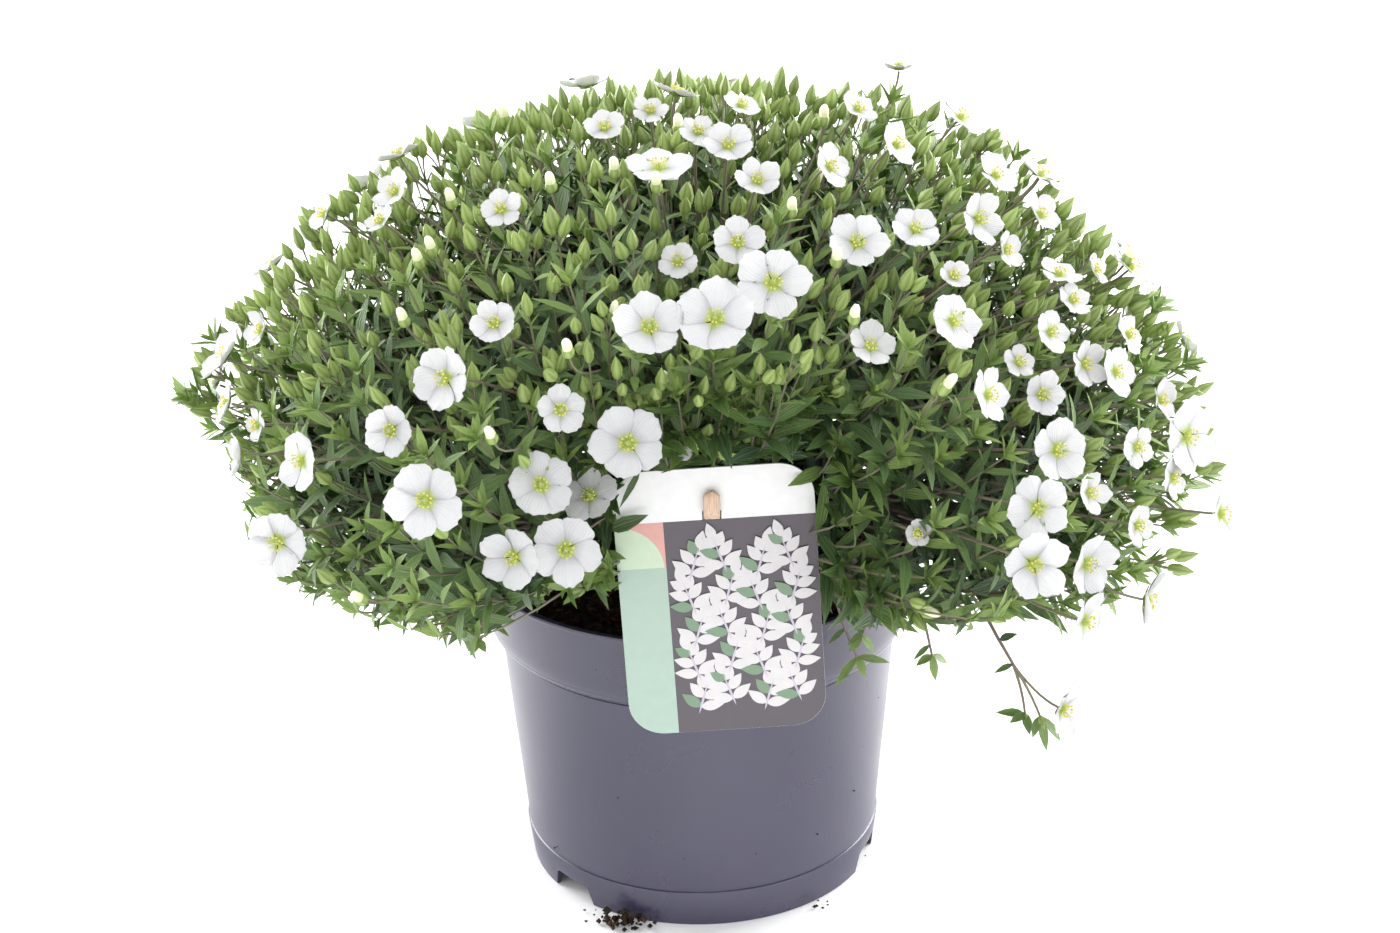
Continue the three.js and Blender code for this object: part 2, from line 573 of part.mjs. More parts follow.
function wedgeCore(sector) {
  const step = 2 * Math.PI / SECTORS;
  const levels = WEDGE_LEVELS.map(radians);
  const innerTop = MOUND.waist + MOUND.rise * CORE_SHARE * 0.93;
  const rings = Array.from({ length: WEDGE_STEPS + 1 }, (_, i) => {
    const azimuth = (sector - 1 + i / WEDGE_STEPS) * step;
    const dome = levels.map((fromTop) => {
      const p = domePoint(fromTop, azimuth, CORE_SHARE);
      return [Math.hypot(p.x - MOUND.centreX, p.y), p.z];
    });
    const profile = [
      [CROWN_FOOT + 1, COMPOST_TOP + FIT], [CROWN_RADIUS + 1, innerTop], ...dome,
      [FOOT_RADIUS, POT.height + 3], [FOOT_RADIUS, COMPOST_TOP + FIT],
    ];
    return profile.map(([r, z]) => vector(r * Math.sin(azimuth), -r * Math.cos(azimuth), z));
  });
  const middle = (sector - 0.5) * step;
  const apart = vector(Math.sin(middle), -Math.cos(middle), 0).multiplyScalar(SLIT / Math.sin(step / 2));
  apart.x += MOUND.centreX;
  return tuftedSolid(rings.map((ring) => ring.map((p) => p.add(apart))), 2, levels.length, sector);
}

// Triangles that fill an upright ring, in the ring's own sense
function filling(ring) {
  const flat = ring.map((p) => new THREE.Vector2(Math.hypot(p.x - MOUND.centreX, p.y), p.z));
  const sense = Math.sign(THREE.ShapeUtils.area(flat));
  return THREE.ShapeUtils.triangulateShape(flat, []).map(([a, b, c]) => {
    const same = Math.sign(THREE.ShapeUtils.area([flat[a], flat[b], flat[c]])) === sense;
    return same ? [a, b, c] : [a, c, b];
  });
}

// A closed solid through like rings, the two end rings filled. Each cell of the dome rises to a
// tuft, from place start of the ring on
function tuftedSolid(rings, start, levels, sector) {
  const size = rings[0].length;
  const vertices = rings.flat();
  const triangles = [];
  for (let i = 0; i < rings.length - 1; i++) {
    for (let j = 0; j < size; j++) {
      const [a, b] = [i * size + j, i * size + (j + 1) % size];
      const corners = [a, b, b + size, a + size];
      if (j >= start && j < start + levels - 1) {
        const top = vertices.length;
        vertices.push(tuftTop(corners.map((n) => vertices[n]), sector * 100 + i * 10 + j));
        corners.forEach((corner, n) => triangles.push([corner, corners[(n + 1) % 4], top]));
      } else {
        triangles.push([a, b, b + size], [a, b + size, a + size]);
      }
    }
  }
  const last = (rings.length - 1) * size;
  for (const [a, b, c] of filling(rings[0])) triangles.push([a, c, b]);
  for (const [a, b, c] of filling(rings[rings.length - 1])) triangles.push([last + a, last + b, last + c]);
  return solidFrom(vertices, triangles);
}

function tuftTop(corners, seed) {
  const middle = corners.reduce((sum, p) => sum.add(p), vector(0, 0, 0)).multiplyScalar(0.25);
  const way = outward(middle).add(vector(0, 0, 0.35)).normalize();
  for (const height of [TUFT * (0.6 + 0.6 * draw(seed, 2)), TUFT * 0.4]) {
    const top = middle.clone().addScaledVector(way, height);
    const spine = along(middle, top, 3).slice(1);
    const clear = spine.every((p) => clearOfLabel(p, 3)
      && allFlowers.every((flower) => clearOfFlower(p, flower, TUFT_ROOM)));
    if (clear) return top;
  }
  return middle;
}

// Points to test along a straight piece
function along(from, to, count) {
  return Array.from({ length: count + 1 }, (_, i) => from.clone().lerp(to, i / count));
}

function isClear(points, sector, margin) {
  return points.every((p) => inSector(p, sector, margin + 0.3) && clearOfLabel(p, margin + 2) && clearOfPot(p)
    && allFlowers.every((flower) => clearOfFlower(p, flower, margin + 0.6)));
}

// One shoot: a stem rooted in the core, one or two pairs of opposite leaves and a bud at its tip
function shootSolid(i, sector, tip, pairs) {
  const root = rootOf(tip, sector, ROOT_SHARE);
  const lean = tip.clone().sub(root).normalize().add(vector(0, 0, 0.3)).normalize();
  const neck = tip.clone().addScaledVector(lean, -BUD.length);
  const belly = tip.clone().addScaledVector(lean, -BUD.length * 0.62);
  const way = neck.clone().sub(root).normalize();
  if (!isClear([neck, belly, tip, ...along(root, neck, 6).slice(3)], sector, BUD.radius)) return null;
  const high = neck.clone().addScaledVector(way, -NODE);
  const low = root.clone().lerp(neck, 0.6);
  const lower = pairs === 2 ? [low, low.clone().addScaledVector(way, NODE)] : [];
  const points = [root, ...lower, high, neck, belly, tip];
  const radii = [...Array(points.length - 2).fill(STEM_RADIUS), BUD.radius];
  const { nodes, reference } = leafPairs(i, points, way, sector, pairs);
  return leafyStem(points, radii, reference, nodes);
}

// The shoot that ends at a point, or near it where flowers or the label are in its way
function shootNear(i, sector, tip) {
  const heart = vector(MOUND.centreX, 0, MOUND.waist);
  for (const share of [1, 0.94, 0.87]) {
    for (const turn of [0, 5, -5, 10, -10]) {
      const bent = tip.clone().sub(heart).applyAxisAngle(vector(0, 0, 1), radians(turn));
      const shoot = shootSolid(i, sector, bent.multiplyScalar(share).add(heart), i % 3 === 0 ? 2 : 1);
      if (shoot) return [shoot];
    }
  }
  return [];
}

// The pairs of opposite leaves of a shoot, turned round its stem until the most of them hang clear
function leafPairs(i, points, way, sector, pairs) {
  const side = way.clone().cross(vector(0.1, 0.2, 1)).normalize();
  let best = { nodes: [], reference: side };
  for (let k = 0; k < 12 && best.nodes.length < pairs; k++) {
    const turn = 2 * Math.PI * draw(i, 4) + k * Math.PI / 12;
    const reference = side.clone().applyAxisAngle(way, turn);
    const nodes = [];
    for (let pair = 0; pair < pairs; pair++) {
      const ring = 1 + 2 * pair;
      const angle = -Math.PI / 2 + pair * Math.PI / 2;
      const length = LEAF.length * (0.85 + 0.35 * draw(i, 5 + pair)) * (pair === pairs - 1 ? 0.85 : 1.1);
      const tips = [0, Math.PI].map((half) => reference.clone().applyAxisAngle(way, angle + half)
        .addScaledVector(way, 0.8).normalize().multiplyScalar(length).add(points[ring]));
      const free = tips.every((tip) => isClear(along(points[ring], tip, 4).slice(1), sector, LEAF.width / 2));
      if (free) nodes.push({ ring, tips, width: LEAF.width, parity: pair });
    }
    if (nodes.length > best.nodes.length) best = { nodes, reference };
  }
  return best;
}

// Where a stem that ends at a point leaves the core: up to a share of the way out, sunk well in,
// and inside its own sector
function rootOf(end, sector, share) {
  const root = vector(0, 0, 0);
  let way = share;
  do {
    root.set(MOUND.centreX, 0, MOUND.waist - 30).lerp(end, way);
    root.z = Math.max(root.z, MOUND.waist - ROOT_DROP);
    way -= 0.03;
  } while (domeShare(root) > CORE_SHARE - 0.05);
  const plan = Math.hypot(root.x - MOUND.centreX, root.y);
  const least = CROWN_RADIUS + 6;
  if (sector > 0 && plan < least) {
    root.x = MOUND.centreX + (root.x - MOUND.centreX) * least / plan;
    root.y *= least / plan;
  }
  return root;
}

// Where a flower's stalk leaves the core, and its elbow behind the flower: the first way that is clear
function stalkPath(flower, sector) {
  const { place, face, azimuth } = flower;
  const across = vector(-Math.cos(azimuth), -Math.sin(azimuth), 0);
  for (const reach of [12, 8, 16]) {
    const elbow = heldIn(place.clone().addScaledVector(face, -reach), sector, 2);
    for (const aside of [0, 6, -6, 12, -12, 18, -18, 24, -24, 30, -30]) {
      for (const level of [0, -10, 10, -20, 20]) {
        const start = rootOf(place, sector, 0.72).addScaledVector(across, aside).add(vector(0, 0, level));
        const root = heldIn(start, sector, 2);
        const path = [...along(root, elbow, 12).slice(3), ...along(elbow, place, 4).slice(0, 3)];
        const clear = path.every((p) => inSector(p, sector, 1.4) && clearOfLabel(p, 2)
          && allFlowers.every((other) => other === flower || clearOfFlower(p, other, 1.6)));
        if (clear) return [root, elbow];
      }
    }
  }
  throw new Error(`no clear way for the stalk of the flower at ${place.toArray().map(Math.round)}`);
}

// The stalk of a clear flower, up to its sepals close behind the petals
function stalkSolid(flower, sector) {
  const { place, face } = flower;
  const seat = place.clone().addScaledVector(face, -1.5 - FIT);
  const [root, elbow] = stalkPath(flower, sector);
  return stalkOf([root, elbow, seat], [FLOWER_STALK, FLOWER_STALK, 2.2], vector(-face.y, face.x, 0).normalize());
}

// A flower is bent clear of its sector's edges: with all its width where it is part of a spray, and
// with its stalk alone where it is a solid of its own
function intoSector(flower, room) {
  const { place } = flower;
  const inCrown = Math.hypot(place.x - MOUND.centreX, place.y) + room < CROWN_RADIUS + 2;
  const sector = inCrown ? 0 : sectorOf(Math.atan2(place.x - MOUND.centreX, -place.y));
  heldIn(place, sector, room);
  return { ...flower, sector, azimuth: Math.atan2(place.x - MOUND.centreX, -place.y) };
}

// Flowers on the side away from the photograph: a spiral over the back of the dome, but for those
// that would crowd one that the photograph shows
function hiddenFlowers(shown) {
  const flowers = [];
  for (let i = 0; i < HIDDEN_FLOWERS; i++) {
    const fromTop = Math.acos(0.86 - 0.8 * (i + 0.5) / HIDDEN_FLOWERS);
    const azimuth = Math.PI + radians(100) * (2 * ((i * 0.618034) % 1) - 1);
    const place = domePoint(fromTop, azimuth, 0.985);
    const face = outward(place).add(vector(0, 0, 0.25)).normalize();
    const radius = 10 + 4 * draw(i, 9);
    const room = shown.every((flower) => flower.place.distanceTo(place) > flower.radius + radius + 4);
    if (room) flowers.push({ place, face, radius });
  }
  return flowers;
}

const clearFlowers = CLEAR_FLOWERS.map(flowerAt).map((flower) => intoSector(flower, STALK_ROOM));
const shownFlowers = [...CLEAR_FLOWERS, ...TUCKED_FLOWERS].map(flowerAt);
const tuckedFlowers = [...TUCKED_FLOWERS.map(flowerAt), ...hiddenFlowers(shownFlowers)]
  .map((flower) => intoSector(flower, flower.radius + 2 * FIT));
const allFlowers = [...clearFlowers, ...tuckedFlowers];

// A bare or forked stem's last stretch: a pair of leaves with set tips, and a small bud
function leafyEnd(points, leaves) {
  const end = points[points.length - 1];
  const before = points[points.length - 2];
  const way = end.clone().sub(before).normalize();
  const [first, second] = leaves.map(seenInFront);
  const reference = first.clone().sub(second).normalize().applyAxisAngle(way, Math.PI / 2);
  const path = [...points.slice(0, -1), end.clone().addScaledVector(way, -NODE), end,
    end.clone().addScaledVector(way, BUD.length * 0.3), end.clone().addScaledVector(way, BUD.length * 0.7)];
  const radii = [...Array(path.length - 2).fill(STEM_RADIUS), BUD.radius * 0.6];
  const node = { ring: path.length - 4, tips: [first, second], width: LEAF.width * 0.9, parity: 0 };
  return leafyStem(path, radii, reference, [node]);
}

function hangingSolid({ root, stem, leaves }) {
  return leafyEnd([vector(...root), ...stem.map(seenInFront)], leaves);
}

// The trailing shoot: a stem out of a plain hole in the core, which forks into two leafy ends and
// the stalk of a flower
const trailingStem = [vector(...TRAILING.root), ...TRAILING.stem.map(seenInFront)];
const trailingFlower = {
  place: seenInFront(TRAILING.flower), face: facing(TRAILING.turn, TRAILING.tilt), radius: TRAILING.width / 2,
};

function trailingStemSolid(clearance = 0) {
  const radii = Array(trailingStem.length).fill(STEM_RADIUS + clearance);
  return stalkOf(trailingStem, radii, vector(0, 1, 0));
}

function trailingSolid() {
  const fork = trailingStem[trailingStem.length - 1];
  const { place, face } = trailingFlower;
  const seat = place.clone().addScaledVector(face, -1.5 - FIT);
  const elbow = place.clone().addScaledVector(face, -7);
  const legs = TRAILING.legs.map(({ end, leaves }) => leafyEnd([fork, seenInFront(end)], leaves));
  const stalk = stalkOf([fork, elbow, seat], [FLOWER_STALK, FLOWER_STALK, 2.2], vector(0, 0, 1));
  return grown([trailingStemSolid(), stalk, ...legs]);
}

function homeOf(p) {
  const plan = Math.hypot(p.x - MOUND.centreX, p.y);
  return plan < CROWN_RADIUS + 2 ? 0 : sectorOf(Math.atan2(p.x - MOUND.centreX, -p.y));
}

// The room that the label and its peg take up in front of and between the sprays
function labelRoom() {
  const room = new THREE.BoxGeometry(LABEL.width + 8, 120, LABEL.height + 6);
  room.translate(LABEL.centre[0], -POT.rimRadius + 2 - 60, LABEL.centre[1]);
  return solidOf(room).add(pegSolid(FIT + 0.3));
}

// A spray: the core of one sector with its shoots, its flowers' stalks and its tucked flowers
function spraySolid(sector) {
  const solids = [sector === 0 ? crownCore() : wedgeCore(sector)];
  for (const flower of clearFlowers.filter((f) => f.sector === sector)) {
    solids.push(stalkSolid(flower, sector));
  }
  for (const flower of tuckedFlowers.filter((f) => f.sector === sector)) {
    solids.push(stalkedFlowerSolid(flower, ...stalkPath(flower, sector)));
  }
  shootTips().forEach((tip, i) => {
    if (homeOf(tip) === sector) solids.push(...shootNear(i, sector, tip));
  });
  HANGING.filter(({ root }) => homeOf(vector(...root)) === sector).forEach((shoot) => {
    solids.push(hangingSolid(shoot));
  });
  return grown([grown(solids).subtract(labelRoom()).subtract(trailingStemSolid(FIT))]);
}

// The tips of the shoots: those that make the outline in the photograph, then a spiral over the
// whole dome, a little closer near its top
function shootTips() {
  const outline = OUTLINE_TIPS.map(([px, py]) => seenAt(px, py));
  const spiral = Array.from({ length: SHOOT_COUNT }, (_, i) => {
    const fromTop = Math.acos(1 - 1.42 * ((i + 0.5) / SHOOT_COUNT) ** TOP_CROWDING);
    return domePoint(fromTop, i * GOLDEN_ANGLE, 0.96 + 0.06 * draw(i, 1));
  });
  return [...outline, ...spiral];
}

const plastic = new THREE.MeshStandardMaterial({ color: 0x4a4858, roughness: 0.45, metalness: 0 });
const peat = new THREE.MeshStandardMaterial({ color: 0x2b211a, roughness: 0.95, metalness: 0 });
const card = new THREE.MeshStandardMaterial({ color: 0xeef3ee, roughness: 0.4, metalness: 0 });
const wood = new THREE.MeshStandardMaterial({ color: 0xd9b99b, roughness: 0.7, metalness: 0 });
const foliage = new THREE.MeshStandardMaterial({ color: 0x5f8a37, roughness: 0.6, metalness: 0 });
const petal = new THREE.MeshStandardMaterial({ color: 0xf8f8f6, roughness: 0.6, metalness: 0 });

const plant = new THREE.Group();

function add(name, solid, material) {
  const mesh = new THREE.Mesh(geometryOf(solid), material);
  mesh.name = name;
  plant.add(mesh);
}

add('pot', potSolid(), plastic);
add('compost', compostSolid(), peat);
add('label', labelSolid(), card);
add('label_peg', pegSolid(), wood);
add('spray_crown', spraySolid(0), foliage);
for (let sector = 1; sector <= SECTORS; sector++) {
  add(`spray_${String(sector).padStart(2, '0')}`, spraySolid(sector), foliage);
}
add('trailing_shoot', trailingSolid(), foliage);
[...clearFlowers, trailingFlower].forEach((flower, i) => {
  add(`flower_${String(i + 1).padStart(2, '0')}`, clearFlowerSolid(flower), petal);
});

export default plant;
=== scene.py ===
import math

import bpy
import numpy as np
from mathutils import Matrix, Vector


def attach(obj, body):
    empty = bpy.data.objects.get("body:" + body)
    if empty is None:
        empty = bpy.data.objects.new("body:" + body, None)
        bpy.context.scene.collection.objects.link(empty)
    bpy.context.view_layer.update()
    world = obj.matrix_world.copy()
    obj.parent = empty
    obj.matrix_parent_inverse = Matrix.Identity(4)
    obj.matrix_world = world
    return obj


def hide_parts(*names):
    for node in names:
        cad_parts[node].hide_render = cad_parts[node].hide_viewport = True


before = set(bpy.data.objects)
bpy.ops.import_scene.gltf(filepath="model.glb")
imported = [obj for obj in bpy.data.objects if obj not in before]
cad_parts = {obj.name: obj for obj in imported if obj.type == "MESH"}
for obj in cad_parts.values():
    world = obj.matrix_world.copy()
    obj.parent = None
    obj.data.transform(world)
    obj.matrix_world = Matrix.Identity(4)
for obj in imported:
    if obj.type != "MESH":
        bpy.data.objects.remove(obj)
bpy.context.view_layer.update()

# Viewpoint: the camera stands 1.3 m in front of the pot and 0.8 m up, and looks down on the plant
# with a long lens. Flowers and hanging shoots are placed along its lines of sight.
VIEW_WIDTH, VIEW_HEIGHT = 1400, 933
LENS_MM, SENSOR_MM = 90, 36
EYE = np.array([2.28, -1309.07, 789.54])
LOOK_DOWN = 0.4383
HEAD_TILT = -0.0233
MM = 0.001

lens = bpy.data.cameras.new("lens")
lens.lens = LENS_MM
lens.sensor_width = SENSOR_MM
lens.clip_end = 20
camera = bpy.data.objects.new("camera", lens)
camera.matrix_world = (Matrix.Translation(Vector(EYE * MM))
                       @ Matrix.Rotation(math.pi / 2 - LOOK_DOWN, 4, "X")
                       @ Matrix.Rotation(HEAD_TILT, 4, "Z"))
bpy.context.scene.collection.objects.link(camera)
bpy.context.scene.camera = camera

# Stage: a wide pale floor that runs out of the picture, a bright even sky, a large soft light behind
# each side, which gives the pot its bright edges, a weak one in front of each side, and one above.
FLOOR_SIZE, FLOOR_COLOUR = 14.0, (0.98, 0.98, 0.98)
SKY_COLOUR, SKY_STRENGTH = (0.99, 0.99, 1.0), 1.0
LIGHT_AIM = (0, 0, 0.15)
# Each lamp's name, place and size in metres, and its power in watts
LIGHTS = [
    ("left_light", (-1.25, 0.9, 0.5), (1.1, 1.5), 48),
    ("right_light", (1.25, 0.9, 0.5), (1.1, 1.5), 60),
    ("left_fill", (-1.6, -1.1, 0.5), (1.2, 1.2), 7),
    ("right_fill", (1.6, -1.1, 0.5), (1.2, 1.2), 8),
    ("top_light", (0.1, -0.3, 2.2), (1.6, 1.6), 16),
]


def build_material(name, roughness, **fixed):
    """A new material with its Principled shader's fixed sockets set, and the shader itself."""
    made = bpy.data.materials.new(name)
    made.use_nodes = True
    shader = made.node_tree.nodes["Principled BSDF"]
    shader.inputs["Roughness"].default_value = roughness
    for socket, value in fixed.items():
        shader.inputs[socket.replace("_", " ")].default_value = value
    return made, shader


scene = bpy.context.scene
scene.view_settings.view_transform = "Standard"
scene.world = bpy.data.worlds.new("sky")
scene.world.use_nodes = True
sky = scene.world.node_tree.nodes["Background"]
sky.inputs["Color"].default_value = (*SKY_COLOUR, 1)
sky.inputs["Strength"].default_value = SKY_STRENGTH
for name, place, size, power in LIGHTS:
    lamp = bpy.data.lights.new(name, "AREA")
    lamp.shape = "RECTANGLE"
    lamp.size, lamp.size_y = size
    lamp.energy = power
    light = bpy.data.objects.new(name, lamp)
    light.location = place
    light.rotation_euler = (Vector(LIGHT_AIM) - Vector(place)).to_track_quat("-Z", "Y").to_euler()
    scene.collection.objects.link(light)

floor_mesh = bpy.data.meshes.new("floor")
edge = FLOOR_SIZE / 2
floor_mesh.from_pydata([(-edge, -edge, 0), (edge, -edge, 0), (edge, edge, 0), (-edge, edge, 0)], [],
                       [(0, 1, 2, 3)])
floor = bpy.data.objects.new("floor", floor_mesh)
scene.collection.objects.link(floor)
floor_paper, floor_shader = build_material("floor_paper", 0.8)
floor_shader.inputs["Base Color"].default_value = (*FLOOR_COLOUR, 1)
floor_mesh.materials.append(floor_paper)

# Pot: one piece of moulded dark violet-grey polypropylene, satin outside. A wider collar with a
# rolled lip ends in a round shoulder, a fine step runs low on the wall, and the foot ring has notches.
POT_HEIGHT, RIM_RADIUS, POT_WALL = 144, 95, 2
COLLAR_BOTTOM, COLLAR_RADIUS = 110, 89.5
BODY_TOP_RADIUS, STEP_RADIUS, STEP_HEIGHT, FOOT_RADIUS = 82.6, 75.2, 16.7, 73.2
FLOOR_UNDER, FLOOR_TOP = 9.5, 12
POT_FACETS, POT_SHARP = 160, 32
NOTCH_WIDTH, NOTCH_TOP_WIDTH = 24, 18
NOTCH_HEIGHT, NOTCH_SHOULDER, NOTCH_CUT = 9, 7.6, (90, 64)
NOTCH_TURNS = (-49, 71, 191)
DRAIN_RADIUS, DRAIN_CIRCLE, DRAIN_COUNT, DRAIN_FACETS = 5, 50, 6, 24
POT_DARK, POT_LIGHT = (0.031, 0.028, 0.06), (0.041, 0.037, 0.075)


def new_piece(name, points, faces, materials, sharp=50, material_of_face=None):
    """A mesh piece from points in mm and faces, smooth but for edges sharper than an angle."""
    mesh = bpy.data.meshes.new(name)
    mesh.from_pydata([tuple(p) for p in np.asarray(points, float) * MM], [], [tuple(f) for f in faces])
    for item in materials:
        mesh.materials.append(item)
    if material_of_face is not None:
        mesh.polygons.foreach_set("material_index", np.asarray(material_of_face, np.int32))
    mesh.shade_smooth()
    mesh.set_sharp_from_angle(angle=math.radians(sharp))
    piece = bpy.data.objects.new(name, mesh)
    scene.collection.objects.link(piece)
    return piece


def turned(profile, facets):
    """Points and faces of a closed profile of (radius, height) turned about the pot's axis."""
    points, rings = [], []
    for radius, height in profile:
        if radius == 0:
            rings.append([len(points)] * facets)
            points.append((0, 0, height))
            continue
        rings.append(list(range(len(points), len(points) + facets)))
        for k in range(facets):
            a = 2 * math.pi * k / facets
            points.append((radius * math.cos(a), radius * math.sin(a), height))
    faces = []
    for low, high in zip(rings, rings[1:]):
        for k in range(facets):
            corners = [low[k], low[(k + 1) % facets], high[(k + 1) % facets], high[k]]
            faces.append(list(dict.fromkeys(corners)))
    return points, faces


def cut(piece, cutter):
    """Takes a cutter's solid out of a piece, and removes the cutter."""
    tool = piece.modifiers.new("cut", "BOOLEAN")
    tool.operation = "DIFFERENCE"
    tool.object = cutter
    tool.solver = "EXACT"
    with bpy.context.temp_override(object=piece, active_object=piece):
        bpy.ops.object.modifier_apply(modifier=tool.name)
    bpy.data.objects.remove(cutter)


def pot_profile():
    """The wall's section, from the middle of the floor's underside round to its top side."""
    foot_inside, step_inside = FOOT_RADIUS - POT_WALL, STEP_RADIUS - POT_WALL
    foot = [(0, FLOOR_UNDER), (foot_inside - 0.5, FLOOR_UNDER), (foot_inside, FLOOR_UNDER - 0.5),
            (foot_inside, 0.3), (foot_inside + 0.3, 0), (FOOT_RADIUS - 0.4, 0), (FOOT_RADIUS, 0.4)]
    step = [(STEP_RADIUS, STEP_HEIGHT - 0.5), (STEP_RADIUS - 0.15, STEP_HEIGHT - 0.15),
            (STEP_RADIUS - 0.65, STEP_HEIGHT + 0.1)]
    shoulder = [(BODY_TOP_RADIUS + 0.3, COLLAR_BOTTOM - 3.2), (BODY_TOP_RADIUS - 0.2, COLLAR_BOTTOM - 2.8),
                (BODY_TOP_RADIUS + 1.2, COLLAR_BOTTOM - 2.2), (BODY_TOP_RADIUS + 3.4, COLLAR_BOTTOM - 0.4),
                (COLLAR_RADIUS - 1.9, COLLAR_BOTTOM + 2.6), (COLLAR_RADIUS - 0.6, COLLAR_BOTTOM + 6.0),
                (COLLAR_RADIUS + 0.2, COLLAR_BOTTOM + 10.0)]
    lip = [(RIM_RADIUS - 1.2, POT_HEIGHT - 3.2), (RIM_RADIUS - 1.0, POT_HEIGHT - 2.3),
           (RIM_RADIUS - 0.3, POT_HEIGHT - 1.8), (RIM_RADIUS, POT_HEIGHT - 1.0),
           (RIM_RADIUS - 0.3, POT_HEIGHT - 0.25), (RIM_RADIUS - 1.0, POT_HEIGHT),
           (RIM_RADIUS - 2.4, POT_HEIGHT), (RIM_RADIUS - 3.0, POT_HEIGHT - 0.4)]
    inside = [(COLLAR_RADIUS - POT_WALL, COLLAR_BOTTOM + POT_WALL),
              (BODY_TOP_RADIUS - POT_WALL, COLLAR_BOTTOM + POT_WALL),
              (step_inside - 0.4, FLOOR_TOP + 1), (step_inside - 1.4, FLOOR_TOP), (0, FLOOR_TOP)]
    return foot + step + shoulder + lip + inside


def notch_cutter(turn):
    """The wedge that leaves one notch in the foot ring, turned by degrees from the front."""
    foot, top = NOTCH_WIDTH / 2, NOTCH_TOP_WIDTH / 2
    outline = [(-foot, -1), (foot, -1), (foot, 0.4), (top + 1, NOTCH_SHOULDER), (top - 1, NOTCH_HEIGHT),
               (1 - top, NOTCH_HEIGHT), (-top - 1, NOTCH_SHOULDER), (-foot, 0.4)]
    size = len(outline)
    points = [(x, -y, z) for y in NOTCH_CUT for x, z in outline]
    faces = [list(range(size)), list(range(2 * size - 1, size - 1, -1))]
    faces += [[k, k + size, (k + 1) % size + size, (k + 1) % size] for k in range(size)]
    cutter = new_piece("notch_cutter", points, faces, [])
    cutter.data.transform(Matrix.Rotation(math.radians(turn), 4, "Z"))
    return cutter


def drain_cutter(turn):
    """The cylinder that leaves one drain hole in the pot's floor."""
    points, faces = turned([(0, FLOOR_UNDER - 3), (DRAIN_RADIUS, FLOOR_UNDER - 3),
                            (DRAIN_RADIUS, FLOOR_TOP + 3), (0, FLOOR_TOP + 3)], DRAIN_FACETS)
    cutter = new_piece("drain_cutter", points, faces, [])
    place = Vector((DRAIN_CIRCLE * math.cos(turn), DRAIN_CIRCLE * math.sin(turn), 0)) * MM
    cutter.data.transform(Matrix.Translation(place))
    return cutter


def add_node(made, kind, inputs=(), **settings):
    """One more node in a material, with its settings, its inputs given as values or as outputs."""
    node = made.node_tree.nodes.new("ShaderNode" + kind)
    for key, value in settings.items():
        setattr(node, key, value)
    for socket, value in dict(inputs).items():
        if isinstance(value, bpy.types.NodeSocket):
            made.node_tree.links.new(value, node.inputs[socket])
        else:
            node.inputs[socket].default_value = value
    return node


def ramp(made, factor, stops):
    """The colour that a factor has along named stops: (place, (r, g, b)) each."""
    node = add_node(made, "ValToRGB", {"Fac": factor})
    band = node.color_ramp
    while len(band.elements) < len(stops):
        band.elements.new(0.5)
    for element, (place, colour) in zip(band.elements, stops):
        element.position = place
        element.color = (*colour, 1)
    return node.outputs["Color"]


def place_noise(made, scale, detail=3.0):
    """Noise by place on the object, between 0 and 1."""
    where = add_node(made, "TexCoord").outputs["Object"]
    return add_node(made, "TexNoise", {"Vector": where, "Scale": scale, "Detail": detail}).outputs["Fac"]


def link(made, output, shader, socket):
    """Feeds a node's output to a socket of the shader."""
    made.node_tree.links.new(output, shader.inputs[socket])


def bump(made, shader, height, depth, strength=1.0):
    """Fine relief: a height between 0 and 1 over a depth in metres."""
    node = add_node(made, "Bump", {"Height": height, "Distance": depth, "Strength": strength})
    link(made, node.outputs["Normal"], shader, "Normal")


def pot_plastic():
    """Dyed polypropylene: a slow drift in the dye, a faint moulding grain, and rubbed patches."""
    made, shader = build_material("pot_plastic", 0.3, Specular_IOR_Level=0.8)
    dye = ramp(made, place_noise(made, 9), [(0.35, POT_DARK), (0.65, POT_LIGHT)])
    link(made, dye, shader, "Base Color")
    rubbed = add_node(made, "MapRange", {"Value": place_noise(made, 26, 5), "To Min": 0.22, "To Max": 0.36})
    link(made, rubbed.outputs["Result"], shader, "Roughness")
    bump(made, shader, place_noise(made, 900, 2), 0.00006)
    return made


pot = new_piece("nursery_pot", *turned(pot_profile(), POT_FACETS), [pot_plastic()], sharp=POT_SHARP)
for turn in NOTCH_TURNS:
    cut(pot, notch_cutter(turn))
for i in range(DRAIN_COUNT):
    cut(pot, drain_cutter(i * 2 * math.pi / DRAIN_COUNT))
pot.data.set_sharp_from_angle(angle=math.radians(POT_SHARP))
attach(pot, "root")
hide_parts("pot")

# Compost: moist black peat and bark, poured in and pressed down. Loose crumbs lie on it, a few cling
# to the pot's wall, and some have fallen out at the foot.
COMPOST_TOP, COMPOST_REACH, COMPOST_GAP, COMPOST_FACETS = 136, 88, 0.7, 96
CRUMB_COUNT, WALL_SPECKS = 620, 34
# Two heaps of fallen crumbs: the middle of each by its turn, its spread and its count
FALLEN_HEAPS = [(-2.05, 0.09, 20), (-0.9, 0.05, 6)]
FALLEN_CRUMBS = sum(count for _, _, count in FALLEN_HEAPS)
# A torn lump of root and bark lies against the foot at the left
LUMP_PLACE, LUMP_SPREAD, LUMP_CRUMBS = (-34, -72, 2.6), (6.5, 2.6, 1.2), 46
PEAT, BARK, FIBRE = (0.012, 0.009, 0.007), (0.05, 0.028, 0.016), (0.16, 0.1, 0.055)
crumbs_draw = np.random.default_rng(4)
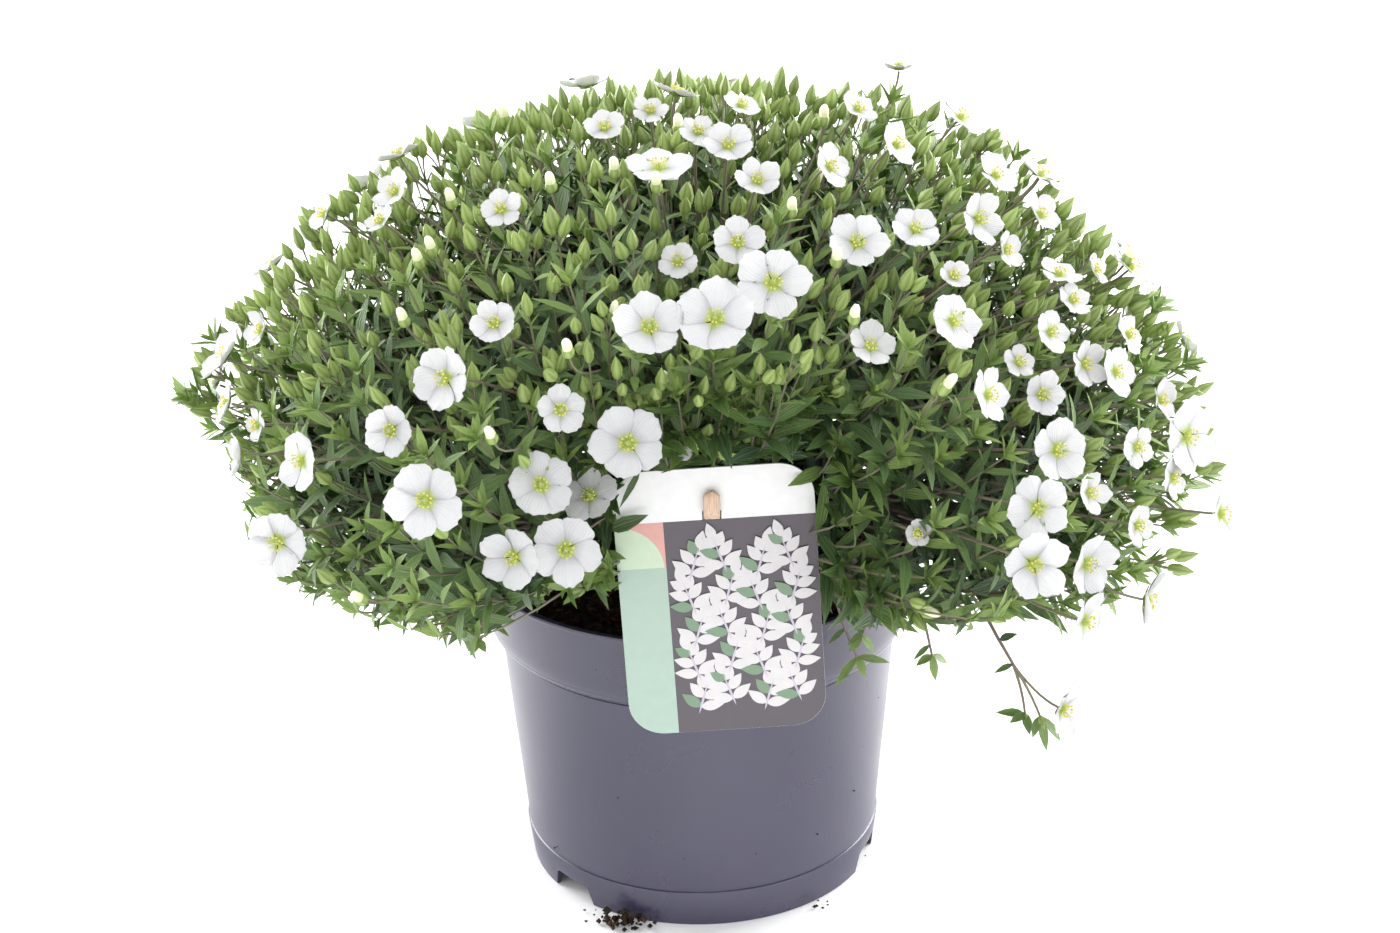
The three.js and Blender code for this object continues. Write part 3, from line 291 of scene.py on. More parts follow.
# The corners and faces of one crumb, an octahedron that each copy squeezes its own way
CRUMB_CORNERS = np.array([(1, 0, 0), (0, 1, 0), (-1, 0, 0), (0, -1, 0), (0, 0, 1), (0, 0, -1)], float)
CRUMB_FACES = [(0, 1, 4), (1, 2, 4), (2, 3, 4), (3, 0, 4), (1, 0, 5), (2, 1, 5), (3, 2, 5), (0, 3, 5)]


def crumbs(places, sizes):
    """Uneven lumps of peat at places, each with its own corners."""
    points, faces = [], []
    for place, size in zip(places, sizes):
        squeeze = crumbs_draw.uniform(0.45, 1.25, (6, 3)) * size
        faces += [[len(points) + k for k in face] for face in CRUMB_FACES]
        points += list(place + CRUMB_CORNERS * squeeze)
    return points, faces


def compost_body():
    """The fill's side and its uneven top, out of one turned profile with the top rings shaken."""
    inner = POT_WALL + COMPOST_GAP
    top_rings = [(RIM_RADIUS - 7.0 - k * 5.5, COMPOST_TOP) for k in range(16)]
    profile = [
        (0, FLOOR_TOP + 0.3), (STEP_RADIUS - inner - 2, FLOOR_TOP + 0.3),
        (STEP_RADIUS - inner - 0.4, FLOOR_TOP + 1.5),
        (BODY_TOP_RADIUS - inner, COLLAR_BOTTOM + POT_WALL + 0.3),
        (COLLAR_RADIUS - inner - 0.3, COLLAR_BOTTOM + POT_WALL + 0.3), (RIM_RADIUS - 5.2, COMPOST_TOP - 3),
        *top_rings, (0, COMPOST_TOP),
    ]
    points, faces = turned(profile, COMPOST_FACETS)
    shaken = []
    for x, y, z in points:
        if z > COMPOST_TOP - 1:
            broad = math.sin(x * 0.31 + 2) * math.sin(y * 0.27)
            wave = broad + 0.6 * math.sin(x * 0.9) * math.sin(y * 1.1 + 1)
            z += crumbs_draw.uniform(-0.9, 0.7) + 0.7 * wave
        shaken.append((x, y, z))
    return shaken, faces


def peat():
    """Peat fibre: black with brown bark and a few pale fibres, matt and rough."""
    made, shader = build_material("peat", 0.95, Specular_IOR_Level=0.2)
    coarse = ramp(made, place_noise(made, 380, 4), [(0.42, PEAT), (0.6, BARK), (0.74, FIBRE)])
    link(made, coarse, shader, "Base Color")
    bump(made, shader, place_noise(made, 700, 5), 0.0006)
    return made


def round_axis(reach, turn, height):
    """Places at distances and turns about the pot's axis, at one height or each at its own."""
    return np.stack([reach * np.cos(turn), reach * np.sin(turn), np.broadcast_to(height, len(reach))], 1)


crumb_reach = COMPOST_REACH * np.sqrt(crumbs_draw.uniform(0.25, 1, CRUMB_COUNT))
crumb_turn = crumbs_draw.uniform(0, 2 * math.pi, CRUMB_COUNT)
lying = round_axis(crumb_reach, crumb_turn, COMPOST_TOP + 0.3)
crumb_sizes = crumbs_draw.uniform(0.7, 2.6, CRUMB_COUNT)
body_points, body_faces = compost_body()
top_points, top_faces = crumbs(lying, crumb_sizes)
shift = len(body_points)
compost = new_piece("compost_fill", body_points + top_points,
                    body_faces + [[k + shift for k in face] for face in top_faces], [peat()], sharp=30)
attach(compost, "root")
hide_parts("compost")


def wall_radius(height):
    """The pot's outer radius at a height on its wall."""
    if height < STEP_HEIGHT:
        return FOOT_RADIUS + (STEP_RADIUS - FOOT_RADIUS) * height / STEP_HEIGHT
    rise = COLLAR_BOTTOM - STEP_HEIGHT
    return STEP_RADIUS + (BODY_TOP_RADIUS - STEP_RADIUS) * (height - STEP_HEIGHT) / rise


speck_height = 100 * crumbs_draw.uniform(0, 1, WALL_SPECKS) ** 1.7 + 1
speck_turn = crumbs_draw.uniform(0, 2 * math.pi, WALL_SPECKS)
specks = round_axis(np.array([wall_radius(h) for h in speck_height]), speck_turn, speck_height)
fallen_turn = np.concatenate([crumbs_draw.normal(*heap) for heap in FALLEN_HEAPS])
fallen_reach = crumbs_draw.uniform(FOOT_RADIUS + 1.5, FOOT_RADIUS + 9, FALLEN_CRUMBS)
fallen = round_axis(fallen_reach, fallen_turn, 1.1)
lump = np.array(LUMP_PLACE) + crumbs_draw.normal(0, 1, (LUMP_CRUMBS, 3)) * LUMP_SPREAD
loose_sizes = np.concatenate([crumbs_draw.uniform(0.3, 0.75, WALL_SPECKS),
                              crumbs_draw.uniform(0.5, 1.1, FALLEN_CRUMBS),
                              crumbs_draw.uniform(0.9, 2.2, LUMP_CRUMBS)])
loose_points, loose_faces = crumbs(np.concatenate([specks, fallen, lump]), loose_sizes)
loose_points = np.array(loose_points)
loose_points[:, 2] = np.maximum(loose_points[:, 2], 0)
loose = new_piece("loose_crumbs", loose_points, loose_faces, [bpy.data.materials["peat"]], sharp=30)
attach(loose, "root")
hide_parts("compost")

# Label: a card with round corners, die-cut and printed. It leans a little and hangs on the peg
# through its slot, flat against the pot's rim. Its header is bare.
CARD_WIDTH, CARD_HEIGHT, CARD_THICKNESS, CARD_CORNER = 78, 115, 0.8, 14
CARD_CENTRE, CARD_LEAN, CARD_BACK = (9, 163), 2.5, -95.3
SLOT_WIDTH, SLOT_HEIGHT, SLOT_CENTRE = 7.4, 5.6, (6.4, 199.4)
PANEL_TOP, BAND_EDGE, CORNER_TOP = 35.5, -20, 16
# The print keeps this far inside the card's edge; its layers above the grounds lie one over the other
PRINT_MARGIN, INK_THICKNESS, INK_GAP, INK_STEP = 0.05, 0.05, 0.01, 0.004
GROUNDS, GREEN_ARC = 3, 18.2
SPRIG_ROWS, SPRIG_COLUMNS, SPRIG_START, SPRIG_PITCH, SPRIG_OFFSET = 5, 4, (-10.5, -46.5), (13.0, 14.8), 3
SPRIG_LEAVES, SPRIG_LEAF_STEP, SPRIG_LEAF_WIDTH = (9.5, 8.5, 7.0), 4.4, 4.6
SLOT_CUT = (-92, -99)
BOX_FACES = [(3, 2, 1, 0), (4, 5, 6, 7), (0, 1, 5, 4), (1, 2, 6, 5), (2, 3, 7, 6), (3, 0, 4, 7)]
INKS = {
    "card_white": (0.86, 0.86, 0.86), "panel_ink": (0.09, 0.077, 0.092), "mint_ink": (0.37, 0.49, 0.415),
    "coral_ink": (0.68, 0.36, 0.32), "pale_green_ink": (0.55, 0.67, 0.5), "white_ink": (0.63, 0.61, 0.62),
    "leaf_ink": (0.17, 0.27, 0.17), "lilac_ink": (0.52, 0.47, 0.57),
}


def arc(centre, radius, start, end, steps=14):
    """Points along an arc in the card's plane, between two angles in degrees."""
    angles = np.radians(np.linspace(start, end, steps + 1))
    return [(centre[0] + radius * math.cos(a), centre[1] + radius * math.sin(a)) for a in angles]


def card_outline():
    """The card's edge: a rectangle with round corners."""
    w, h, r = CARD_WIDTH / 2, CARD_HEIGHT / 2, CARD_CORNER
    return (arc((w - r, r - h), r, -90, 0) + arc((w - r, h - r), r, 0, 90)
            + arc((r - w, h - r), r, 90, 180) + arc((r - w, r - h), r, 180, 270))


def on_card(points, depth):
    """Card-plane points at a depth in front of the card's back, as places in the frame."""
    lean = math.radians(-CARD_LEAN)
    return [(CARD_CENTRE[0] + x * math.cos(lean) + y * math.sin(lean), CARD_BACK - depth,
             CARD_CENTRE[1] - x * math.sin(lean) + y * math.cos(lean)) for x, y in points]


def sheet_of(outline, low, high):
    """A flat prism from an outline in the card's plane, between two depths."""
    size = len(outline)
    points = on_card(outline, low) + on_card(outline, high)
    faces = [list(range(size - 1, -1, -1)), list(range(size, 2 * size))]
    faces += [[k, (k + 1) % size, (k + 1) % size + size, k + size] for k in range(size)]
    return points, faces


def leaf_outline(root, angle, length, width):
    """A pointed leaf shape in the card's plane."""
    way = np.array([math.cos(angle), math.sin(angle)])
    side = np.array([-way[1], way[0]])
    stations = np.linspace(0, 1, 9)
    swell = width / 2 * np.sin(math.pi * stations ** 0.8)
    left = [root + way * length * s + side * w for s, w in zip(stations, swell)]
    right = [root + way * length * s - side * w for s, w in zip(stations[-2:0:-1], swell[-2:0:-1])]
    return [tuple(p) for p in left + right]


def sprig(root, rise, kind):
    """A printed sprig: broad white leaves in pairs along a stalk, with a few small green ones."""
    shapes = []
    way = np.array([math.cos(rise), math.sin(rise)])
    for step, length in enumerate(SPRIG_LEAVES):
        for sign in (-1, 1):
            ink = "leaf_ink" if (step + kind) % 3 == 0 and sign > 0 else "white_ink"
            seat, turn = root + way * step * SPRIG_LEAF_STEP, rise + sign * (1.15 - 0.22 * step)
            shapes.append((ink, leaf_outline(seat, turn, length, SPRIG_LEAF_WIDTH)))
    shapes.append(("white_ink", leaf_outline(root + way * 11.5, rise, 8.0, 4.2)))
    shapes.append(("lilac_ink", leaf_outline(root - way * 3.2, rise, 15.0, 0.9)))
    return shapes


def printed_shapes():
    """The print: (ink, outline) each, from the ground colours up to the sprigs."""
    w, h, r = CARD_WIDTH / 2 - PRINT_MARGIN, CARD_HEIGHT / 2 - PRINT_MARGIN, CARD_CORNER
    right, left = arc((w - r, r - h), r, -90, 0), arc((r - w, r - h), r, 180, 270)
    shapes = [
        ("panel_ink", [(BAND_EDGE, -h), *right, (w, PANEL_TOP), (BAND_EDGE, PANEL_TOP)]),
        ("mint_ink", [*left, (BAND_EDGE, -h), (BAND_EDGE, CORNER_TOP), (-w, CORNER_TOP)]),
        ("coral_ink", [(-w, CORNER_TOP), (BAND_EDGE, CORNER_TOP), (BAND_EDGE, PANEL_TOP),
                       (-w, PANEL_TOP)]),
        ("pale_green_ink", [(-w, CORNER_TOP), *arc((-w, CORNER_TOP), GREEN_ARC, 0, 90)]),
    ]
    for row in range(SPRIG_ROWS):
        for column in range(SPRIG_COLUMNS):
            x = SPRIG_START[0] + SPRIG_PITCH[0] * column
            y = SPRIG_START[1] + SPRIG_PITCH[1] * row + (SPRIG_OFFSET if column % 2 else 0)
            lean = 0.3 if (column + row) % 2 else -0.3
            shapes += sprig(np.array([x, y]), math.pi / 2 + lean, row + column)
    return shapes


def card_ink(name, colour):
    """Coated card or ink on it: smooth, with a slight unevenness of the print."""
    made, shader = build_material(name, 0.34, Specular_IOR_Level=0.5)
    darker = tuple(c * 0.94 for c in colour)
    link(made, ramp(made, place_noise(made, 240, 4), [(0.3, darker), (0.7, colour)]), shader, "Base Color")
    bump(made, shader, place_noise(made, 1400, 2), 0.00002)
    return made


inks = {name: card_ink(name, colour) for name, colour in INKS.items()}
card = new_piece("label_card", *sheet_of(card_outline(), 0, CARD_THICKNESS), [inks["card_white"]], sharp=40)
slot_points = [(SLOT_CENTRE[0] + x * SLOT_WIDTH / 2, y, SLOT_CENTRE[1] + z * SLOT_HEIGHT / 2)
               for y in SLOT_CUT for x, z in ((-1, -1), (1, -1), (1, 1), (-1, 1))]
card.data.shade_flat()
cut(card, new_piece("slot_cutter", slot_points, BOX_FACES, []))
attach(card, "root")
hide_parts("label")

print_points, print_faces, print_inks = [], [], []
for layer, (ink, outline) in enumerate(printed_shapes()):
    low = CARD_THICKNESS + (0 if layer < GROUNDS else INK_GAP + INK_STEP * layer)
    points, faces = sheet_of(outline, low, low + INK_THICKNESS)
    print_faces += [[k + len(print_points) for k in face] for face in faces]
    print_points += points
    print_inks += [list(INKS).index(ink)] * len(faces)
label_print = new_piece("label_print", print_points, print_faces, list(inks.values()), 40, print_inks)
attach(label_print, "root")
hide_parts("label")

# Peg: a flat stick of pale wood, pushed into the compost behind the label. It bends through the
# label's slot, so that its rounded tip holds the card in front of the rim.
PEG_WIDTH, PEG_THICKNESS, PEG_EDGE, PEG_TOP = 6.5, 1.6, 0.35, 211.5
PEG_LINE = [(-74, 100), (-82.5, 140), (-90.4, 188), (-92.5, 194.3), (-97.8, 202.8), (-98.2, PEG_TOP)]
WOOD_PALE, WOOD_DARK = (0.72, 0.53, 0.4), (0.52, 0.35, 0.235)


def lengths_along(line):
    """How far along a line each of its points lies."""
    return np.concatenate([[0], np.cumsum(np.linalg.norm(np.diff(line, axis=0), axis=1))])


def peg_stick():
    """A strip with softened edges along the bent line, narrowed to a round end at its top."""
    line = np.array(PEG_LINE, float)
    lengths = lengths_along(line)
    straight, bent = np.linspace(0, lengths[2], 8), np.linspace(lengths[2], lengths[-1], 26)
    stations = np.concatenate([straight[:-1], bent])
    middles = np.stack([np.interp(stations, lengths, line[:, k]) for k in (0, 1)], 1)
    ways = np.gradient(middles, axis=0)
    ways /= np.linalg.norm(ways, axis=1, keepdims=True)
    points, faces = [], []
    for (y, z), (wy, wz) in zip(middles, ways):
        over = max(0.0, z - (PEG_TOP - PEG_WIDTH / 2))
        half = math.sqrt(max(0.05, (PEG_WIDTH / 2) ** 2 - over ** 2))
        thick, side = PEG_THICKNESS / 2, half - PEG_EDGE
        face = thick - PEG_EDGE
        for across, out in ((-half, -face), (-side, -thick), (side, -thick), (half, -face),
                            (half, face), (side, thick), (-side, thick), (-half, face)):
            points.append((SLOT_CENTRE[0] + across, y - wz * out, z + wy * out))
    rings = len(middles)
    for i in range(rings - 1):
        for k in range(8):
            n = (k + 1) % 8
            faces.append((i * 8 + k, i * 8 + n, (i + 1) * 8 + n, (i + 1) * 8 + k))
    faces += [tuple(range(7, -1, -1)), tuple(range((rings - 1) * 8, rings * 8))]
    return points, faces


def peg_wood():
    """Birch: fine grain along the stick, in a pale and a darker tone."""
    made, shader = build_material("peg_wood", 0.6, Specular_IOR_Level=0.35)
    where = add_node(made, "TexCoord").outputs["Object"]
    drawn = add_node(made, "Mapping", {"Vector": where, "Scale": (1.0, 1.0, 0.06)}).outputs["Vector"]
    grain = add_node(made, "TexNoise", {"Vector": drawn, "Scale": 1500, "Detail": 4}).outputs["Fac"]
    link(made, ramp(made, grain, [(0.3, WOOD_DARK), (0.62, WOOD_PALE)]), shader, "Base Color")
    bump(made, shader, grain, 0.0001)
    return made


peg = new_piece("wooden_peg", *peg_stick(), [peg_wood()], sharp=50)
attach(peg, "root")
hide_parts("label_peg")

# The plant's outline: the dome that the tips of the shoots reach. It parts round the label, and the
# foliage stands in a crown and eight sectors, which each have their own pieces.
HEART_X, WAIST = 4, 186
DOME_X, DOME_Y, DOME_RISE, DOME_DROP = 208, 200, 149, 42
# The parting: its depth in front and behind, its turn and half width, and the angle from the top at
# which it starts and over which it grows to its full depth, in degrees
PART_DEPTH, PART_BACK, PART_TURN, PART_HALF, PART_START, PART_RANGE = 0.44, 0.14, 2.5, 28, 35, 37
SECTORS, CROWN_RADIUS = 8, 54
SIGHT_NEAR, SIGHT_FAR = 1180.0, 1700.0
HEART = np.array([HEART_X, 0.0, WAIST])


def unit(vectors):
    """The same directions with a length of one."""
    return vectors / np.maximum(np.linalg.norm(vectors, axis=-1, keepdims=True), 1e-9)


def parting(azimuth, from_top):
    """The share of the dome's plan radius that the foliage keeps, by direction and height."""
    turn = np.arctan2(np.sin(azimuth), np.cos(azimuth)) - math.radians(PART_TURN)
    t = np.clip((from_top - math.radians(PART_START)) / math.radians(PART_RANGE), 0, 1)
    low = t * t * (3 - 2 * t)
    front = PART_DEPTH * np.exp(-(turn / math.radians(PART_HALF)) ** 8)
    back = PART_BACK * np.maximum(0, -np.cos(azimuth)) ** 2
    return 1 - low * (front + back)


def dome_point(from_top, azimuth, share=1.0):
    """A point by its angle from the top, its angle from the front, and its share of the way out."""
    plan = np.sin(from_top) * parting(azimuth, from_top) * share
    up = np.cos(from_top)
    return np.stack([HEART_X + plan * DOME_X * np.sin(azimuth), -plan * DOME_Y * np.cos(azimuth),
                     WAIST + share * up * np.where(up > 0, DOME_RISE, DOME_DROP)], -1)


def dome_share(p):
    """How far out a point lies: 1 on the dome, less inside."""
    x, y = (p[..., 0] - HEART_X) / DOME_X, -p[..., 1] / DOME_Y
    up = p[..., 2] - WAIST
    level = up / np.where(up > 0, DOME_RISE, DOME_DROP)
    plan = np.hypot(x, y)
    return np.hypot(plan / parting(np.arctan2(x, y), np.arctan2(plan, level)), level)


def outward(p):
    """The way straight out of the dome at a point."""
    away = np.asarray(p, float) - HEART
    return unit(away / np.array([DOME_X, DOME_Y, DOME_RISE]) ** 2)


def sight_through(px, py):
    """The unit line of sight through a pixel of the 1400 x 933 view."""
    focal = LENS_MM / SENSOR_MM * VIEW_WIDTH
    across, down = px - VIEW_WIDTH / 2, py - VIEW_HEIGHT / 2
    right = math.cos(HEAD_TILT) * across + math.sin(HEAD_TILT) * down
    below = -math.sin(HEAD_TILT) * across + math.cos(HEAD_TILT) * down
    sin_down, cos_down = math.sin(LOOK_DOWN), math.cos(LOOK_DOWN)
    line = np.array([right, focal * cos_down - below * sin_down,
                     -focal * sin_down - below * cos_down])
    return line / np.linalg.norm(line)


def seen_at(px, py, nearer=0.0):
    """Where a line of sight first meets the dome or passes nearest to it, less a step back."""
    sight = sight_through(px, py)
    line = EYE + sight * np.arange(SIGHT_NEAR, SIGHT_FAR)[:, None]
    shares = dome_share(line)
    inside = np.nonzero(shares <= 1)[0]
    first = inside[0] if len(inside) else int(np.argmin(shares))
    return line[first] - sight * nearer


def sector_towards(azimuth):
    """The sector that lies in a direction, 1 to 8 round from the front."""
    return 1 + math.floor((azimuth / (2 * math.pi) + 2) % 1 * SECTORS) % SECTORS


def sector_of(p):
    """The sector that a place is in, with 0 for the crown."""
    dx, dy = p[0] - HEART_X, p[1]
    return 0 if np.hypot(dx, dy) < CROWN_RADIUS else sector_towards(np.arctan2(dx, -dy))


# Flowers: five broad white petals in a shallow cup, a green-yellow eye of nectary and ovary with
# three styles, about ten yellow stamens, and five pointed sepals behind. The clear ones are pieces
# of their own, where their nodes are, and the tucked ones belong to their spray.
PETAL_ALONG, PETAL_ACROSS, PETAL_THICKNESS = 8, 8, 0.22
# The stations of a petal along its length, with the share of its width there
PETAL_STATIONS = [0, 0.12, 0.35, 0.6, 0.8, 0.93, 1]
PETAL_SWELL = [0.16, 0.36, 0.78, 1.0, 0.94, 0.7, 0.42]
EYE_RADIUS, STYLES, STAMENS = 2.7, 3, 10
SEPAL_SHARE, SEPAL_LONGEST, SEPAL_BEHIND = 0.62, 7.5, 0.9
# A flower's node starts this far behind its seat, and reaches this share of its radius
NODE_BEHIND, NODE_REACH = 1.5, 0.98
# The tucked flowers: the pixel of each in the view, its turn to the right of the front and its tilt
# up in degrees, its width in mm, and how much nearer than the dome it is
TUCKED_FLOWERS = [
    (509, 213, -20, 50, 17, -3), (395, 192, -50, 45, 18, -4), (322, 222, -70, 30, 16, -4),
    (650, 111, 0, 60, 14, -3), (698, 132, 20, 60, 16, -3), (728, 146, 10, 60, 20, -4),
    (757, 181, 20, 55, 18, -3), (857, 115, 50, 55, 16, -3), (697, 262, -10, 45, 15, -20),
    (960, 118, 70, 50, 22, 0), (995, 176, 60, 50, 20, -2), (1040, 215, 60, 40, 17, -2),
    (1005, 250, 60, 20, 15, -3), (1094, 270, 70, 30, 13, 0), (1050, 332, 50, 30, 17, -4),
    (1128, 335, 60, 30, 16, -2), (1084, 364, 50, 20, 18, -5), (1160, 400, 60, 20, 17, -2),
    (1009, 367, 40, 40, 14, -12), (1080, 498, 50, 20, 17, -5), (1137, 525, 50, 10, 16, -5),
    (1172, 478, 55, 10, 16, -4), (262, 330, -70, 25, 15, -3), (228, 403, -80, 20, 18, 0),
    (258, 425, -60, 10, 14, -4), (241, 455, -75, 5, 18, 0), (681, 449, 0, 30, 9, -24),
]
# The hidden ones: how many there are at most, how far they spread to each side of the back in degrees,
# and the cosine of their angle from the top, at its greatest and in its range
HIDDEN_FLOWERS, HIDDEN_TURN, HIDDEN_TOP, HIDDEN_RANGE = 34, 100, 0.86, 0.8
GOLDEN_SHARE = 0.618034
# Their least radius and how much it varies, how far out they stand and how far apart, in shares and mm
HIDDEN_RADIUS, HIDDEN_VARIES, HIDDEN_OUT, HIDDEN_APART = 10, 4, 0.985, 4
# A tucked flower keeps this far inside its own sector
FLOWER_MARGIN = 0.6
# PETAL_SHADE is painted shade: the lilac-grey of a petal towards its foot, where the flower's cup shades
# it; the faint veins take the same colour
PETAL_WHITE, PETAL_SHADE, PETAL_BASE = (0.61, 0.61, 0.625), (0.52, 0.52, 0.565), (0.42, 0.52, 0.13)
EYE_PALE, EYE_DEEP = (0.4, 0.47, 0.08), (0.34, 0.44, 0.06)
STAMEN_PALE, STAMEN_DEEP = (0.62, 0.58, 0.12), (0.56, 0.62, 0.26)


def facing(turn, tilt):
    """The way a flower faces, turned to the right of the front and tilted up, in degrees."""
    t, u = math.radians(turn), math.radians(tilt)
    return np.array([math.sin(t) * math.cos(u), -math.cos(t) * math.cos(u), math.sin(u)])


def flower_of_node(name):
    """Place, face and radius of the flower that a node of the frame stands for."""
    points = np.array([v.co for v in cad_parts[name].data.vertices], float) / MM
    middle = points.mean(0)
    face = np.linalg.svd(points - middle)[2][2]
    along = (points - middle) @ face
    aside = np.linalg.norm(points - middle - along[:, None] * face, axis=1)
    if np.corrcoef(along, aside)[0, 1] < 0:
        face, along = -face, -along
    seat = points[np.argmin(along)] + NODE_BEHIND * face
    offset = points - seat
    radius = np.linalg.norm(offset - (offset @ face)[:, None] * face, axis=1).max() / NODE_REACH
    return seat, face, radius


def held_in(place, room):
    """Turns a place about the dome's axis until it is that far inside its own sector."""
    dx, dy = place[0] - HEART_X, place[1]
    if math.hypot(dx, dy) + room < CROWN_RADIUS:
        return place
    half = math.pi / SECTORS
    azimuth = math.atan2(dx, -dy)
    middle = (2 * sector_towards(azimuth) - 1) * half
    plan = max(math.hypot(dx, dy), CROWN_RADIUS + 2 + room)
    limit = half - math.asin(min(0.35, room / plan))
    turn = np.clip(math.atan2(math.sin(azimuth - middle), math.cos(azimuth - middle)), -limit, limit)
    return np.array([HEART_X + plan * math.sin(middle + turn), -plan * math.cos(middle + turn), place[2]])


def draw(i, k):
    """Seeded draw between 0 and 1 for item i and purpose k."""
    return math.sin(i * 127.1 + k * 311.7) * 43758.5453 % 1


def hidden_flowers(shown):
    """Flowers on the side away from the view: a spiral over the back of the dome."""
    flowers = []
    for i in range(HIDDEN_FLOWERS):
        from_top = math.acos(HIDDEN_TOP - HIDDEN_RANGE * (i + 0.5) / HIDDEN_FLOWERS)
        azimuth = math.pi + math.radians(HIDDEN_TURN) * (2 * ((i * GOLDEN_SHARE) % 1) - 1)
        place = dome_point(from_top, azimuth, HIDDEN_OUT)
        radius = HIDDEN_RADIUS + HIDDEN_VARIES * draw(i, 9)
        if all(np.linalg.norm(place - other) > size + radius + HIDDEN_APART for other, _, size in shown):
            flowers.append((place, unit(outward(place) + np.array([0, 0, 0.25])), radius))
    return flowers


clear_names = sorted(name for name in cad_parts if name.startswith("flower_"))
clear_flowers = [flower_of_node(name) for name in clear_names]
seen_tucked = [(seen_at(px, py, nearer), facing(turn, tilt), width / 2)
               for px, py, turn, tilt, width, nearer in TUCKED_FLOWERS]
tucked_flowers = [(held_in(place, radius + FLOWER_MARGIN), face, radius)
                  for place, face, radius in seen_tucked + hidden_flowers(clear_flowers + seen_tucked)]
all_flowers = clear_flowers + tucked_flowers


def tri_faces(rows, columns):
    """Triangles of a grid of points."""
    k = np.arange((rows - 1) * columns).reshape(rows - 1, columns)[:, :-1].ravel()
    a, b, c, d = k, k + 1, k + columns + 1, k + columns
    return np.concatenate([np.stack([a, b, c], 1), np.stack([a, c, d], 1)])


class Growth:
    """Collects the parts of one plant piece: points, triangles, a finish for each, and for each
    point its place along and across its own part and the part's age tone."""

    def __init__(self):
        self.points, self.faces, self.finish, self.tones = [], [], [], []
        self.count = 0

    def add(self, points, faces, finish, along, across, tone):
        """Takes in one part, with the number of its finish and its measures for each point."""
        size = len(points)
        self.points.append(points)
        self.faces.append(faces + self.count)
        self.finish.append(np.full(len(faces), finish))
        self.tones.append(np.stack([np.broadcast_to(v, size) for v in (along, tone, across, 1.0)], 1))
        self.count += size

    def piece(self, name, materials, sharp=42):
        """The mesh object of all that was collected."""
        points = np.concatenate(self.points) * MM
        faces = np.concatenate(self.faces).astype(np.int32)
        mesh = bpy.data.meshes.new(name)
        mesh.vertices.add(len(points))
        mesh.vertices.foreach_set("co", points.astype(np.float32).ravel())
        mesh.loops.add(faces.size)
        mesh.loops.foreach_set("vertex_index", faces.ravel())
        mesh.polygons.add(len(faces))
        mesh.polygons.foreach_set("loop_start", np.arange(0, faces.size, 3, dtype=np.int32))
        for item in materials:
            mesh.materials.append(item)
        mesh.update(calc_edges=True)
        mesh.polygons.foreach_set("material_index", np.concatenate(self.finish).astype(np.int32))
        tone = mesh.attributes.new("growth", "FLOAT_COLOR", "POINT")
        tone.data.foreach_set("color", np.concatenate(self.tones).astype(np.float32).ravel())
        mesh.shade_smooth()
        mesh.set_sharp_from_angle(angle=math.radians(sharp))
        made = bpy.data.objects.new(name, mesh)
        scene.collection.objects.link(made)
        return made


def growth_parts(made):
    """A part's own measures: along it, its tone, and across it."""
    colour = add_node(made, "Attribute", attribute_name="growth").outputs["Color"]
    return tuple(add_node(made, "SeparateColor", {"Color": colour}).outputs)


def fine_lines(made, across, count):
    """Fine lines lengthways on a part, as waves between its middle and its edges."""
    scaled = add_node(made, "Math", {0: across, 1: count}, operation="MULTIPLY").outputs[0]
    return add_node(made, "Math", {0: scaled}, operation="SINE").outputs[0]


def blend_colours(made, factor, first, second):
    """A mix of two colours, each a value or an output."""
    node = add_node(made, "Mix", data_type="RGBA")
    for socket, value in ((0, factor), (6, first), (7, second)):
        if isinstance(value, bpy.types.NodeSocket):
            made.node_tree.links.new(value, node.inputs[socket])
        else:
            node.inputs[socket].default_value = (*value, 1) if isinstance(value, tuple) else value
    return node.outputs[2]


def petal_white():
    """Petal tissue: white, yellow-green at its narrow base, with painted shade in lilac-grey towards its
    foot, where the flower's cup shades it, and faint lilac-grey veins.
    """
    made, shader = build_material("petal_white", 0.55, Subsurface_Weight=0.25, Subsurface_Scale=0.002,
                                  Subsurface_Radius=(1.0, 1.0, 0.9), Specular_IOR_Level=0.3)
    along, _, across = growth_parts(made)
    # Painted shade: between the yellow-green base and the white, the petal darkens to lilac-grey towards
    # its foot, where the cup shades it
    claw_and_foot_shade = ramp(made, along, [(0.14, PETAL_BASE), (0.28, PETAL_SHADE), (0.46, PETAL_WHITE)])
    veins = fine_lines(made, across, 34.0)
    faint = add_node(made, "MapRange", {"Value": veins, "From Min": 0.4, "From Max": 1.0, "To Max": 0.22})
    link(made, blend_colours(made, faint.outputs["Result"], claw_and_foot_shade, PETAL_SHADE), shader, "Base Color")
    bump(made, shader, veins, 0.00008, 0.5)
    return made


def eye_finish(name, pale, deep):
    """A small part of a flower: a deep colour at its foot and a pale one at its tip."""
    made, shader = build_material(name, 0.5, Subsurface_Weight=0.1, Subsurface_Scale=0.001)
    along = growth_parts(made)[0]
    link(made, ramp(made, along, [(0.2, deep), (0.9, pale)]), shader, "Base Color")
    bump(made, shader, place_noise(made, 2500, 2), 0.00005)
    return made


